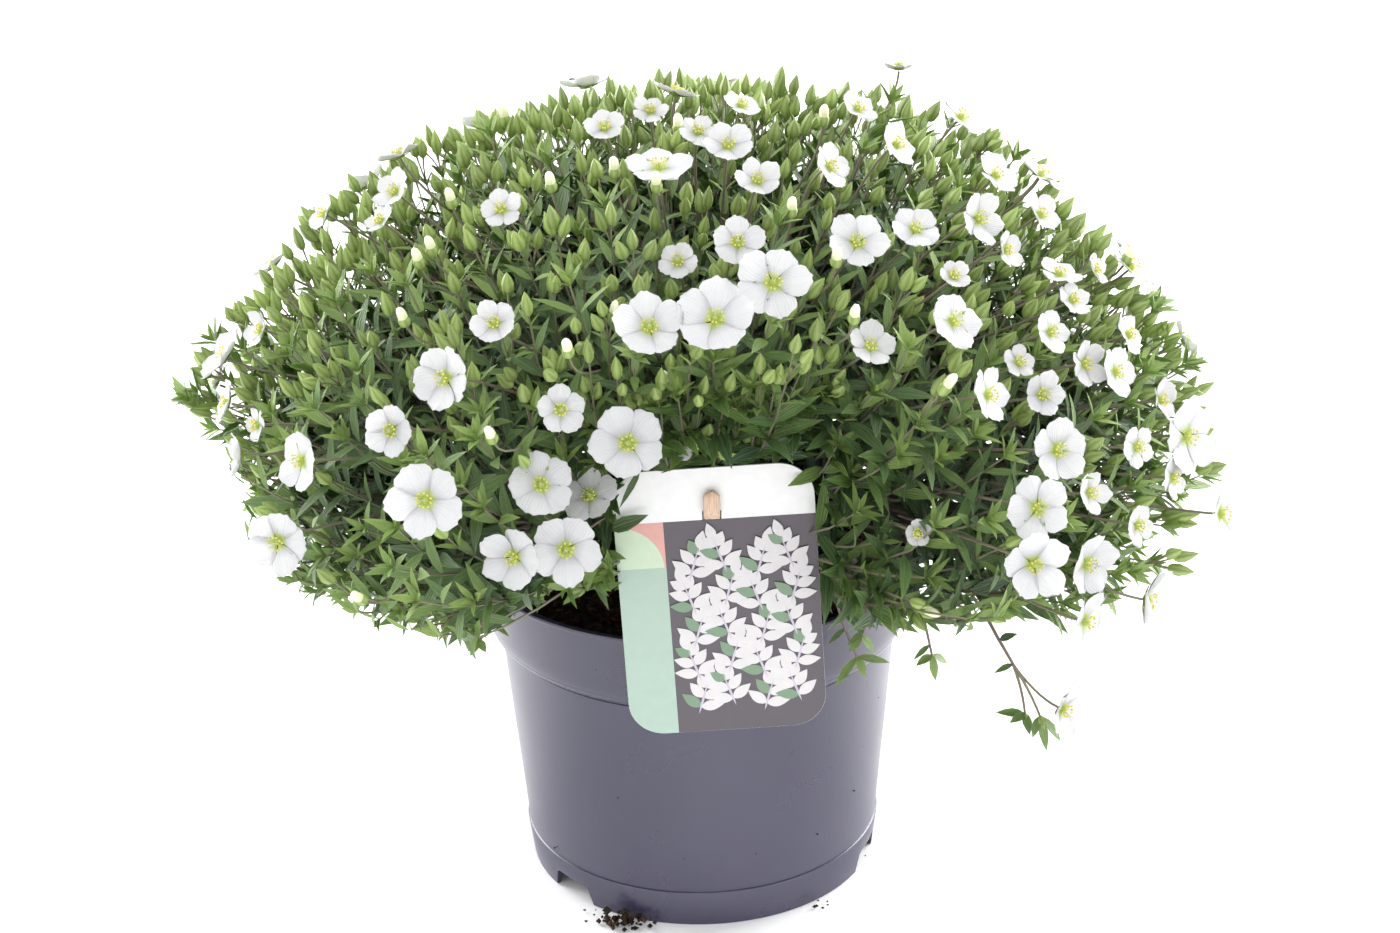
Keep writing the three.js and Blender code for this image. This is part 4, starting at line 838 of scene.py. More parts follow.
def petal(length, width, lift, curl, wave, phase):
    """Points and triangles of one petal with two sides, in its flower's plane: along x, out z."""
    u, v = np.meshgrid(np.linspace(0, 1, PETAL_ALONG), np.linspace(-1, 1, PETAL_ACROSS), indexing="ij")
    swell = np.interp(u, PETAL_STATIONS, PETAL_SWELL)
    notch = 1 - 0.07 * np.exp(-(v / 0.22) ** 2) * u ** 3 - 0.10 * np.abs(v) ** 2.5 * u ** 4
    x = length * u * notch
    y = width / 2 * v * swell
    z = lift * length * (0.35 * u + 0.65 * u ** 2) - curl * length * v ** 2 * u * (1 - 0.4 * u)
    z = z + wave * length * u ** 2 * np.sin(3.1 * v + 2.2 * u + phase)
    front = np.stack([x, y, z], -1).reshape(-1, 3)
    inner = np.zeros_like(u, bool)
    inner[1:-1, 1:-1] = True
    back = front[inner.ravel()] - np.array([0, 0, PETAL_THICKNESS])
    index = np.arange(u.size)
    index[inner.ravel()] = u.size + np.arange(inner.sum())
    faces = tri_faces(PETAL_ALONG, PETAL_ACROSS)
    faces = np.concatenate([faces, index[faces[:, ::-1]]])
    along = np.concatenate([u.ravel(), u[inner]])
    across = np.concatenate([v.ravel(), v[inner]])
    return np.concatenate([front, back]), faces, along, np.abs(across)


def tube(line, radii, sides):
    """Points, triangles and place along of a closed tube through points."""
    line = np.asarray(line, float)
    way = unit(np.gradient(line, axis=0))
    side = unit(np.cross(way, way[0] * 0.3 + np.array([0.31, 0.87, -0.12])))
    other = np.cross(way, side)
    angles = np.arange(sides) * 2 * math.pi / sides
    ring = np.cos(angles)[None, :, None] * side[:, None] + np.sin(angles)[None, :, None] * other[:, None]
    points = (line[:, None] + ring * np.broadcast_to(radii, len(line))[:, None, None]).reshape(-1, 3)
    count = len(line)
    k = np.arange((count - 1) * sides)
    n = k - k % sides + (k + 1) % sides
    faces = np.concatenate([np.stack([k, n, n + sides], 1), np.stack([k, n + sides, k + sides], 1)])
    start = [(0, i + 1, i) for i in range(1, sides - 1)]
    last = (count - 1) * sides
    end = [(last, last + i, last + i + 1) for i in range(1, sides - 1)]
    along = np.repeat(np.linspace(0, 1, count), sides)
    return points, np.concatenate([faces, start, end]), along


def frame_on(face, spin=0.0):
    """The two directions across a face, turned by a spin, as the rows of a matrix with the face."""
    side = unit(np.cross([0.02, 0.03, 1.0], face))
    up = np.cross(face, side)
    return np.stack([math.cos(spin) * side + math.sin(spin) * up,
                     -math.sin(spin) * side + math.cos(spin) * up, face])


PETALS, EYE_GREEN, STAMEN, SEPAL = 0, 1, 2, 3


def add_petals(growth, place, face, radius, turn, flower_draw):
    """Five petals round a flower's seat, every second one a little in front of its neighbours."""
    fuller = flower_draw.uniform(0.18, 0.48)
    for k in range(5):
        spin = 2 * math.pi * (k + flower_draw.normal(0, 0.02)) / 5 + turn
        points, faces, along, across = petal(
            radius * flower_draw.uniform(0.9, 1.05), radius * flower_draw.uniform(0.86, 1.08),
            fuller + flower_draw.normal(0, 0.08), flower_draw.uniform(-0.1, 0.16),
            flower_draw.uniform(0.02, 0.065), flower_draw.uniform(0, 6))
        points = points + np.array([0.5, 0, 0.12 * (k % 2)])
        growth.add(place + points @ frame_on(face, spin), faces, PETALS, along, across, 0.5)


def add_eye_part(growth, place, axes, line, radii, sides, finish, along=None):
    """A small round part of a flower's eye, from a line on the flower's own axes."""
    points, faces, line_along = tube(line, radii, sides)
    growth.add(place + points @ axes, faces, finish, line_along if along is None else along, 0, 0.5)


def add_pistil(growth, place, axes):
    """The ovary, and its three styles that spread apart."""
    ovary = [(0, 0, h) for h in (-0.4, 0.4, 1.2, 2.0, 2.5)]
    radii = [EYE_RADIUS * 0.8, EYE_RADIUS * 0.62, 1.25, 0.95, 0.3]
    add_eye_part(growth, place, axes, ovary, radii, 8, EYE_GREEN)
    for k in range(STYLES):
        a = 2 * math.pi * k / STYLES
        style = [(0.3 * math.cos(a) * s, 0.3 * math.sin(a) * s, 2.2 + s * 0.8) for s in (0, 1, 2.4)]
        add_eye_part(growth, place, axes, style, [0.16, 0.13, 0.08], 3, PETALS, 0.6)


def add_stamen(growth, place, axes, turn, lean, tall):
    """A stamen: a thread that leans outwards, with its anther on the end."""
    steps = np.array([0.0, 0.5, 1.0])
    out = 1.2 + tall * lean * steps
    thread = np.stack([np.cos(turn) * out, np.sin(turn) * out, 0.4 + tall * (1.1 - 0.4 * lean) * steps], 1)
    add_eye_part(growth, place, axes, thread, [0.16, 0.13, 0.11], 3, STAMEN, 0.35)
    anther = thread[-1] + np.array([[0, 0, -0.25], [0, 0, 0.15], [0, 0, 0.5], [0, 0, 0.7]])
    add_eye_part(growth, place, axes, anther, [0.25, 0.5, 0.42, 0.12], 5, STAMEN, 1.0)


def add_flower(growth, place, face, radius, i):
    """One open flower with all its parts."""
    flower_draw = np.random.default_rng(1000 + i)
    add_petals(growth, place, face, radius, i, flower_draw)
    axes = frame_on(face, i * 1.3)
    add_pistil(growth, place, axes)
    for k in range(STAMENS):
        turn = 2 * math.pi * (k + flower_draw.uniform(-0.2, 0.2)) / STAMENS
        lean = flower_draw.uniform(0.3, 0.6)
        add_stamen(growth, place, axes, turn, lean, radius * 0.24 * flower_draw.uniform(0.8, 1.1))
    for k in range(5):
        spin = 2 * math.pi * (k + 0.5) / 5 + i
        length = min(SEPAL_LONGEST, radius * SEPAL_SHARE)
        add_sepal(growth, place - face * SEPAL_BEHIND, frame_on(face, spin), length)


def add_sepal(growth, place, axes, length):
    """A narrow pointed sepal under the petals."""
    points, faces, along, across = leaf_blade(length, length * 0.42, 0.2, -0.25, 0.3)
    growth.add(place + points @ axes, faces, SEPAL, along, across, 0.75)


# The stations of a leaf along its length, with the share of its width there
LEAF_STATIONS = np.array([0.05, 0.22, 0.45, 0.72])
LEAF_SWELL = np.array([0.3, 0.82, 1.0, 0.64])


def leaf_blade(length, width, fold, droop, thickness=0.3, skip=()):
    """A lanceolate leaf: creased along its midrib, curved along its length, closed all round."""
    stations = np.delete(LEAF_STATIONS, skip)
    points = [(0, 0, 0)]
    for s, swell in zip(stations, np.delete(LEAF_SWELL, skip)):
        w = width / 2 * swell
        z = -droop * length * s * s
        points += [(length * s, -w, z + fold * w), (length * s, 0, z + thickness / 2),
                   (length * s, w, z + fold * w), (length * s, 0, z - thickness / 2)]
    points.append((length, 0, -droop * length))
    size = len(stations)
    faces = []
    for k in range(4):
        n = (k + 1) % 4
        faces.append((0, 1 + n, 1 + k))
        for i in range(size - 1):
            a, b = 1 + 4 * i + k, 1 + 4 * i + n
            faces += [(a, b, b + 4), (a, b + 4, a + 4)]
        faces.append((1 + 4 * (size - 1) + k, 1 + 4 * (size - 1) + n, 4 * size + 1))
    along = np.concatenate([[0], np.repeat(stations, 4), [1]])
    across = np.concatenate([[0], np.tile([1, 0, 1, 0], size), [0]])
    return np.array(points, float), np.array(faces), along, across


# Foliage: thin mauve-brown stems that branch from the crown, with opposite narrow leaves, dark and
# bluish inside and bright green at the tips, and clusters of one to three pale green buds.
SHOOT_COUNT, MOST_PAIRS = 1280, 6
# How far the buds of a cluster lean from its middle one, and the share of buds that are opening
CYME_LEANS, OPENING_SHARE = (0.0, 0.42, -0.42), 0.02
GOLDEN_ANGLE = math.pi * (3 - math.sqrt(5))
LEAF_OLD, LEAF_MID, LEAF_YOUNG = (0.038, 0.073, 0.04), (0.095, 0.17, 0.045), (0.25, 0.36, 0.085)
LEAF_RIB, STEM_STREAK = (0.2, 0.29, 0.12), (0.2, 0.16, 0.13)
STEM_BARK, STEM_GREEN = (0.15, 0.11, 0.095), (0.21, 0.24, 0.12)
BUD_GREEN, BUD_PALE = (0.19, 0.29, 0.055), (0.37, 0.45, 0.16)
CREAM_PALE, CREAM_DEEP = (0.88, 0.86, 0.66), (0.6, 0.68, 0.3)
LEAF, STEM, BUD, CREAM = 0, 1, 2, 3


def shaded(made, colour, factor, least, greatest):
    """A colour that a factor between 0 and 1 makes darker or lighter, between two shares."""
    share = add_node(made, "MapRange", {"Value": factor, "To Min": least, "To Max": greatest})
    inputs = {0: colour, "Scale": share.outputs["Result"]}
    return add_node(made, "VectorMath", inputs, operation="SCALE").outputs[0]


def leaf_green():
    """Leaf tissue: age sets its green, its midrib is paler, and it has fine veins and a soft sheen."""
    made, shader = build_material("leaf_green", 0.42, Subsurface_Weight=0.08, Subsurface_Scale=0.001,
                                  Subsurface_Radius=(0.6, 1.0, 0.3), Specular_IOR_Level=0.5)
    _, tone, across = growth_parts(made)
    green = ramp(made, tone, [(0.05, LEAF_OLD), (0.5, LEAF_MID), (0.95, LEAF_YOUNG)])
    mottled = shaded(made, green, place_noise(made, 160), 0.78, 1.18)
    rib = add_node(made, "MapRange", {"Value": across, "From Min": 0.0, "From Max": 0.16,
                                      "To Min": 0.45, "To Max": 0.0}).outputs["Result"]
    link(made, blend_colours(made, rib, mottled, LEAF_RIB), shader, "Base Color")
    bump(made, shader, fine_lines(made, across, 17.0), 0.00012, 0.6)
    return made


def stem_bark():
    """Stem skin: green near the tips and mauve-brown below, blotched, and a little rough."""
    made, shader = build_material("stem_bark", 0.6, Specular_IOR_Level=0.3)
    skin = ramp(made, growth_parts(made)[1], [(0.25, STEM_BARK), (0.9, STEM_GREEN)])
    link(made, blend_colours(made, place_noise(made, 300), skin, STEM_STREAK), shader, "Base Color")
    bump(made, shader, place_noise(made, 1200, 2), 0.00008)
    return made


def bud_green():
    """Sepals closed over the bud: yellow-green, paler along the grooves where their edges meet."""
    made, shader = build_material("bud_green", 0.5, Subsurface_Weight=0.12, Subsurface_Scale=0.001,
                                  Subsurface_Radius=(0.8, 1.0, 0.3), Specular_IOR_Level=0.4)
    _, tone, across = growth_parts(made)
    sepal = blend_colours(made, across, BUD_GREEN, BUD_PALE)
    link(made, shaded(made, sepal, tone, 0.62, 1.15), shader, "Base Color")
    bump(made, shader, place_noise(made, 900, 2), 0.00008)
    return made


foliage_finishes = [leaf_green(), stem_bark(), bud_green(), eye_finish("cream_tip", CREAM_PALE, CREAM_DEEP)]
bloom_finishes = [petal_white(), eye_finish("eye_green", EYE_PALE, EYE_DEEP),
                  eye_finish("stamen_yellow", STAMEN_PALE, STAMEN_DEEP), bud_green()]
# The stations of a bud along its length, with the share of its width there, and those of the cream
# tip of an opening one
BUD_STATIONS, BUD_SWELL = (0.0, 0.14, 0.42, 0.72), (0.45, 0.86, 1.0, 0.6)
TIP_STATIONS, TIP_SWELL = (0.3, 0.5, 0.75, 0.9), (0.9, 1.0, 0.9, 0.6)
# The tip's length and radius and the open sepals' length, as shares of the closed bud's
TIP_LENGTH, TIP_RADIUS, OPEN_LENGTH = 1.1, 0.8, 0.84
BUD_SIDES, BUD_GROOVE, BUD_TWIST = 10, 0.88, 0.25


def bud_body(length, radius, stations=BUD_STATIONS, swell=BUD_SWELL):
    """A pointed bud of five closed sepals, along x: ridges and grooves by turns."""
    points, along, across = [(-0.2, 0, 0)], [0.0], [0.5]
    for s, share in zip(stations, swell):
        for k in range(BUD_SIDES):
            a = 2 * math.pi * k / BUD_SIDES + BUD_TWIST * s
            r = radius * share * (1.0 if k % 2 else BUD_GROOVE)
            points.append((length * s, r * math.cos(a), r * math.sin(a)))
            along.append(s)
            across.append(float(k % 2 == 0) * 0.9)
    points.append((length, 0, 0))
    along.append(1.0)
    across.append(0.6)
    around = [(k, (k + 1) % BUD_SIDES) for k in range(BUD_SIDES)]
    faces = [(0, 1 + n, 1 + k) for k, n in around]
    for ring in range(1, 1 + BUD_SIDES * (len(stations) - 1), BUD_SIDES):
        for k, n in around:
            a, b, c, d = ring + k, ring + n, ring + n + BUD_SIDES, ring + k + BUD_SIDES
            faces += [(a, b, c), (a, c, d)]
    last = 1 + BUD_SIDES * (len(stations) - 1)
    faces += [(last + k, last + n, len(points) - 1) for k, n in around]
    return np.array(points, float), np.array(faces), np.array(along), np.array(across)


def axes_along(way, above):
    """A leaf's axes: along its way, across, and its upper side, as the rows of a matrix."""
    way = unit(way)
    across = unit(np.cross(above, way))
    return np.stack([way, across, np.cross(way, across)])


flower_places = np.array([place for place, _, _ in all_flowers])
flower_faces = np.array([face for _, face, _ in all_flowers])
flower_sizes = np.array([radius for _, _, radius in all_flowers])
flower_views = unit(EYE - flower_places)
# How much of each flower stays uncovered towards the viewer: all of a clear one, part of a tucked one
CLEAR_SHARE, TUCKED_SHARE = 1.0, 0.6
# How far in front of a flower, towards the viewer and along its own face, nothing stands, and the
# share of its width that its face keeps free
SIGHT_FREE, FACE_FREE, FACE_SHARE, BEHIND_FREE = 90.0, 11.0, 0.85, 3.5
shown_share = np.array([CLEAR_SHARE] * len(clear_flowers) + [TUCKED_SHARE] * len(seen_tucked)
                       + [0.0] * (len(tucked_flowers) - len(seen_tucked)))


def hides_flower(p, margin):
    """Whether a point stands in a flower or between it and the viewer, or in front of its face."""
    away = p - flower_places
    rules = ((flower_views, SIGHT_FREE, flower_sizes * shown_share + margin * (shown_share > 0)),
             (flower_faces, FACE_FREE, flower_sizes * FACE_SHARE + margin))
    for line, ahead, room in rules:
        t = (away * line).sum(1)
        aside = np.linalg.norm(away - t[:, None] * line, axis=1)
        if np.any((t > -BEHIND_FREE) & (t < ahead) & (aside < room)):
            return True
    return False


# The lower edge of the foliage in the view, as pixels from left to right
SKIRT_ACROSS, SKIRT_DOWN = zip(*[
    (150, 400), (182, 412), (205, 438), (235, 480), (250, 555), (290, 600), (352, 620), (410, 634),
    (470, 652), (500, 620), (545, 600), (620, 600), (640, 640), (820, 650), (915, 640), (960, 636),
    (1000, 622), (1100, 655), (1150, 600), (1200, 560), (1260, 520),
])
# Further back than this, in mm, nothing of the lower edge shows
SKIRT_BACK = 30
# The upper edge of the foliage in the view
TOP_ACROSS, TOP_DOWN = zip(*[
    (182, 385), (200, 340), (240, 284), (280, 238), (320, 194), (360, 166), (400, 146), (440, 117),
    (480, 106), (520, 97), (560, 82), (600, 75), (640, 67), (680, 61), (720, 63), (760, 68),
    (800, 78), (840, 84), (880, 84), (920, 88), (960, 112), (1000, 136), (1040, 158), (1080, 187),
    (1120, 226), (1160, 290), (1200, 350), (1240, 440),
])


def seen_pixel(p):
    """The pixel of the view in which a point is seen."""
    away = p - EYE
    sin_down, cos_down = math.sin(LOOK_DOWN), math.cos(LOOK_DOWN)
    depth = away[1] * cos_down - away[2] * sin_down
    right, below = away[0], -away[1] * sin_down - away[2] * cos_down
    across = math.cos(HEAD_TILT) * right - math.sin(HEAD_TILT) * below
    down = math.sin(HEAD_TILT) * right + math.cos(HEAD_TILT) * below
    focal = LENS_MM / SENSOR_MM * VIEW_WIDTH
    return VIEW_WIDTH / 2 + focal * across / depth, VIEW_HEIGHT / 2 + focal * down / depth


def under_skirt(p, room=0.0):
    """Whether a point hangs lower than the foliage's ragged edge does on the side that shows."""
    if p[1] > SKIRT_BACK:
        return False
    across, down = seen_pixel(p)
    ragged = 7 * math.sin(across * 0.19) + 5 * math.sin(across * 0.47 + 1)
    edge_down = np.interp(across, SKIRT_ACROSS, SKIRT_DOWN)
    return down > edge_down + ragged - room


def over_top(p):
    """Whether a point stands out over the foliage's upper edge in the view."""
    across, down = seen_pixel(p)
    return down < np.interp(across, TOP_ACROSS, TOP_DOWN) - 3 + 5 * math.sin(across * 0.3)


# Foliage keeps off the label from this height up
LABEL_FREE_FROM = 90


def hides_label(p, room=0.0):
    """Whether a point is where the label hangs, or between it and the viewer."""
    ahead = max(0.0, CARD_BACK + 2 - p[1])
    top = CARD_CENTRE[1] + CARD_HEIGHT / 2 + ahead * math.tan(LOOK_DOWN)
    aside = abs(p[0] - CARD_CENTRE[0]) < CARD_WIDTH / 2 + 1 + room
    return aside and p[1] < CARD_BACK + 3 and LABEL_FREE_FROM < p[2] < top + room


def in_pot(p, room=2.0):
    """Whether a point is inside the pot or its wall."""
    return math.hypot(p[0], p[1]) < RIM_RADIUS + room and p[2] < POT_HEIGHT + 2


# Leaves of a lower tone than this are old ones, inside the dome
OLD_TONE = 0.45


def lay_leaf(growth, root, way, above, length, width, tone, droop=0.1, fold=0.35):
    """One leaf from its root along its way, with its upper side towards above. Old ones are plainer."""
    skip = (0,) if tone < OLD_TONE else ()
    points, faces, along, across = leaf_blade(length, width, fold, droop, skip=skip)
    growth.add(root + points @ axes_along(way, above), faces, LEAF, along, across, tone)


def add_leaf(growth, root, way, above, length, width, tone, droop):
    """A leaf, but for one that would cover a flower or the label or cross the pot."""
    way = unit(way)
    for p in (root + way * length * 0.55, root + way * length):
        if hides_flower(p, -1.5) or hides_label(p) or in_pot(p) or under_skirt(p):
            return
    lay_leaf(growth, root, way, above, length, width, tone, droop)


def add_bud(growth, seat, way, length, radius, tone, opening=0.0):
    """A bud on its stalk's end. One that opens shows a cream tip of furled petals."""
    axes = axes_along(way, np.array([0.2, 0.3, 1.0]))
    if opening:
        points, faces, along, across = bud_body(length * TIP_LENGTH, radius * TIP_RADIUS,
                                                 TIP_STATIONS, TIP_SWELL)
        growth.add(seat + points @ axes, faces, CREAM, along, across, tone)
        length *= OPEN_LENGTH
    points, faces, along, across = bud_body(length, radius)
    growth.add(seat + points @ axes, faces, BUD, along, across, tone)


def bent_line(start, pull, end, count):
    """Points along a curve from start to end that is drawn towards a pull."""
    t = np.linspace(0, 1, count)[:, None]
    return (1 - t) ** 2 * start + 2 * t * (1 - t) * pull + t ** 2 * end


def add_stem(growth, line, radii, tone, sides=4):
    """A stem or a stalk along a line, with one tone or one for each point of the line."""
    points, faces, along = tube(line, radii, sides)
    growth.add(points, faces, STEM, along, 0, tone if np.isscalar(tone) else np.repeat(tone, sides))


# The spiral of the shoots ends past the waist: its range of the cosine of the angle from the top
SPIRAL_RANGE = 1.46
# The most that is left out on the flanks, which begin that far from the middle and from the top
FLANK_THINNING, FLANK_ASIDE, FLANK_LOW = 0.42, ([85, 130], [0, 1]), ([1.0, 1.3], [0, 1])
# A tip that can't stand at its place moves in by steps of this share
SETTLE_STEPS, SETTLE_SHARE = 8, 0.045
# How a shoot's way leans up by its angle from the top, and to the right by its place across
LIFT, LEAN = ([0.0, 1.25, 1.6, 1.95], [0.8, 0.85, 0.45, 0.0]), ([-60, 30, 150], [-0.1, 0.25, 0.65])
# For the leaf pairs of a shoot, counted from its end: their length on a shoot in bud and on a leafy
# one, how far they spread, and their tone
LENGTH_BUDDING, LENGTH_LEAFY = ([0, 1, 2, 5], [10, 15, 20, 22]), ([0, 1, 2, 5], [13, 18, 22, 24])
SPREAD, TONE = ([0, 1, 4], [0.75, 1.0, 1.35]), ([0, 1, 2, 4], [0.82, 0.66, 0.46, 0.2])
# The part of a stem that bears leaves, and where it starts between the plant's heart and its neck
LEAFY_PART, STEM_START = 0.82, np.array([0.42, 0.42, 0.36])


def shoot_lattice():
    """The directions in which the shoots end: a golden spiral over the dome."""
    for i in range(SHOOT_COUNT):
        from_top = math.acos(1 - SPIRAL_RANGE * (i + 0.5) / SHOOT_COUNT)
        yield i, from_top, i * GOLDEN_ANGLE


def thinning(tip, from_top):
    """The share of the shoots left out: the flanks are open enough to see through between stems."""
    aside, low = np.interp(abs(tip[0] - HEART_X), *FLANK_ASIDE), np.interp(from_top, *FLANK_LOW)
    return FLANK_THINNING * float(aside * low)


def settle(from_top, azimuth, share):
    """The dome point of a shoot's tip, drawn in until it hides no flower, label or pot."""
    for _ in range(SETTLE_STEPS):
        tip = dome_point(from_top, azimuth, share)
        if not (hides_flower(tip, 2.5) or hides_label(tip, 1.0) or in_pot(tip, 4.0)
                or under_skirt(tip, 4) or over_top(tip)):
            return tip
        share -= SETTLE_SHARE
    return None


def budding_share(tip, from_top):
    """The share of the shoots in bud: most on top and at the sides, few low on the front."""
    front = max(0.0, -tip[1] / math.hypot(tip[0] - 40, tip[1])) ** 1.5
    low_front = np.interp(from_top, [0.7, 1.0, 1.35], [0.93, 0.45, 0.16])
    low_side = np.interp(from_top, [1.0, 1.4, 1.8], [0.93, 0.55 if tip[0] < 0 else 0.75, 0.25])
    return front * low_front + (1 - front) * low_side


def across_way(way, level):
    """Two directions across a way, square to each other, the first of them near level."""
    across = unit(np.cross(way, np.array(level)))
    return across, np.cross(way, across)


def add_leaf_pairs(growth, line, rise, budding, shoot_draw):
    """Opposite leaves down a stem, each pair a quarter turn from the one above and longer."""
    lengths = lengths_along(line)
    spin = shoot_draw.uniform(0, math.pi)
    spacing = shoot_draw.uniform(9.0, 15.0)
    grown = LENGTH_BUDDING if budding else LENGTH_LEAFY
    for pair in range(min(MOST_PAIRS, int(lengths[-1] * LEAFY_PART / spacing))):
        at = lengths[-1] - (pair * spacing if pair else 0.5)
        root, ahead = (np.array([np.interp(s, lengths, line[:, k]) for k in range(3)])
                       for s in (at, at + 2))
        way = unit(ahead - root) if pair else rise
        across, other = across_way(way, [0.13, 0.21, 1.0])
        length = shoot_draw.uniform(0.8, 1.15) * np.interp(pair, *grown)
        width = length * shoot_draw.uniform(0.21, 0.29)
        for opposite in (0, math.pi):
            turn = spin + pair * math.pi / 2 + opposite
            aside = math.cos(turn) * across + math.sin(turn) * other
            spread = np.interp(pair, *SPREAD) * shoot_draw.uniform(0.8, 1.2)
            leaf_way = unit(way + aside * spread + np.array([0, 0, -0.06 * pair]))
            tone = np.clip(np.interp(pair, *TONE) + shoot_draw.normal(0, 0.1), 0, 1)
            add_leaf(growth, root, leaf_way, way - aside * 0.4, length, width, tone,
                     shoot_draw.uniform(0.02, 0.2))


def add_cyme(growth, neck, rise, head, shoot_draw):
    """The end of a budding shoot: a middle bud and up to two at its sides, on thin stalks."""
    count = shoot_draw.choice([1, 2, 3], p=[0.3, 0.4, 0.3])
    across = unit(np.cross(rise, shoot_draw.normal(0, 1, 3)))
    for k in range(count):
        length = shoot_draw.uniform(8.0, 11.0)
        aside = across * CYME_LEANS[k] * shoot_draw.uniform(0.7, 1.2)
        way = unit(rise + aside + shoot_draw.normal(0, 0.06, 3))
        reach = (head - length) * (1.0 if k == 0 else shoot_draw.uniform(0.6, 0.95))
        seat = neck + way * reach
        if hides_flower(seat + way * length, -1.0) or hides_label(seat + way * length) or in_pot(seat):
            continue
        line = bent_line(neck, neck + (rise + way) * reach * 0.3, seat, 4)
        add_stem(growth, line, [0.42, 0.4, 0.4, 0.55], 0.8, 3)
        add_bud(growth, seat, way, length, shoot_draw.uniform(2.2, 2.9), shoot_draw.uniform(0.2, 1.0),
                opening=float(shoot_draw.uniform() < OPENING_SHARE))


# The leaves of a leafy tip, pair by pair: how far each spreads, and its least and greatest length
TUFT_LEAVES = [(1.3, 10, 14)] * 2 + [(0.9, 8, 12)] * 2 + [(0.5, 6, 8)] * 2


def add_leafy_tip(growth, neck, rise, shoot_draw):
    """The end of a leafy shoot: a tuft of small bright leaves round its growing point."""
    across, other = across_way(rise, [0.3, 0.1, 1.0])
    fresh = shoot_draw.uniform(0.68, 0.95)
    spin = shoot_draw.uniform(0, math.pi)
    for k, (spread, shortest, longest) in enumerate(TUFT_LEAVES):
        a = spin + math.pi * k + (math.pi / 2 if k % 4 > 1 else 0)
        aside = math.cos(a) * across + math.sin(a) * other
        length = shoot_draw.uniform(shortest, longest)
        add_leaf(growth, neck + rise * (k // 2) * 1.2, unit(rise + aside * spread), rise - aside * 0.5,
                 length, length * shoot_draw.uniform(0.23, 0.3), fresh + 0.05 * (k // 2), 0.06)


def grow_shoot(growth, i, tip, from_top):
    """One shoot: a curved stem from inside the dome, pairs of opposite leaves, and its end."""
    shoot_draw = np.random.default_rng(i)
    bias = np.array([np.interp(tip[0], *LEAN), 0, np.interp(from_top, *LIFT)])
    rise = unit(outward(tip) + bias + shoot_draw.normal(0, 0.15, 3))
    budding = shoot_draw.uniform() < budding_share(tip, from_top)
    head = shoot_draw.uniform(15, 25) if budding else shoot_draw.uniform(3, 7)
    neck = tip - rise * head
    if hides_label(neck) or under_skirt(neck, 3):
        return
    start = HEART + (neck - HEART) * STEM_START + np.array([0, 0, -12])
    pull = neck - rise * 0.45 * np.linalg.norm(neck - start) + shoot_draw.normal(0, 4, 3)
    line = bent_line(start, pull, neck, 6)
    add_stem(growth, line, np.linspace(0.75, 0.45, 6), np.linspace(0.15, 0.85, 6), 3)
    add_leaf_pairs(growth, line, rise, budding, shoot_draw)
    if budding:
        add_cyme(growth, neck, rise, head, shoot_draw)
    else:
        add_leafy_tip(growth, neck, rise, shoot_draw)


# Tips that stand out along the foliage's edge in the view, from left to right over the top, and the
# ones that stand out low down
EDGE_TIPS = [
    (182, 395), (192, 352), (225, 305), (262, 267), (300, 205), (350, 170), (430, 122), (500, 105),
    (560, 85), (610, 75), (660, 66), (720, 70), (783, 65), (850, 80), (940, 100), (1000, 128),
    (1045, 155), (1100, 225), (1135, 258), (1165, 315), (1197, 362), (1215, 430),
]
LOW_TIPS = [(1200, 560), (1170, 600), (235, 470), (248, 540), (300, 600), (352, 622), (410, 636),
            (960, 640)]
EDGE_STEPS = 4


def edge_pixels():
    """The standing tips, with more tips between neighbours along the upper edge."""
    for (x0, y0), (x1, y1) in zip(EDGE_TIPS, EDGE_TIPS[1:]):
        for k in range(EDGE_STEPS):
            t = k / EDGE_STEPS
            inward = 0 if k == 0 else 4 + 9 * draw(x0 + k, 3)
            yield x0 + (x1 - x0) * t, y0 + (y1 - y0) * t + inward
    yield from EDGE_TIPS[-1:] + LOW_TIPS


sprays = [Growth() for _ in range(SECTORS + 1)]


def spray_at(p):
    """The spray whose sector a place is in."""
    return sprays[sector_of(p)]


for i, (px, py) in enumerate(edge_pixels()):
    tip = seen_at(px, py)
    from_top = math.atan2(math.hypot(tip[0] - HEART_X, tip[1]) / DOME_X, (tip[2] - WAIST) / DOME_RISE)
    grow_shoot(spray_at(tip), SHOOT_COUNT + i, tip, from_top)
for i, from_top, azimuth in shoot_lattice():
    share = 0.84 + 0.19 * draw(i, 1) ** 0.7
    tip = settle(from_top, azimuth, share)
    if tip is not None and draw(i, 2) > thinning(tip, from_top):
        grow_shoot(spray_at(tip), i, tip, from_top)

# Flower stalks: each flower has a thin green stalk. It grows out of the foliage and bends to meet
# the flower from behind. One flower hangs on the trailing shoot instead.
TRAILING_FLOWER = 45
STALK_START, STALK_ELBOW, STALK_END = 0.62, 14, 1.4
for i, (place, face, _) in enumerate(all_flowers):
    if i != TRAILING_FLOWER:
        inner = HEART + (place - HEART) * STALK_START
        line = bent_line(inner, place - face * STALK_ELBOW, place - face * STALK_END, 8)
        add_stem(spray_at(place), line, np.linspace(0.6, 0.55, 8), np.linspace(0.2, 0.85, 8), 5)

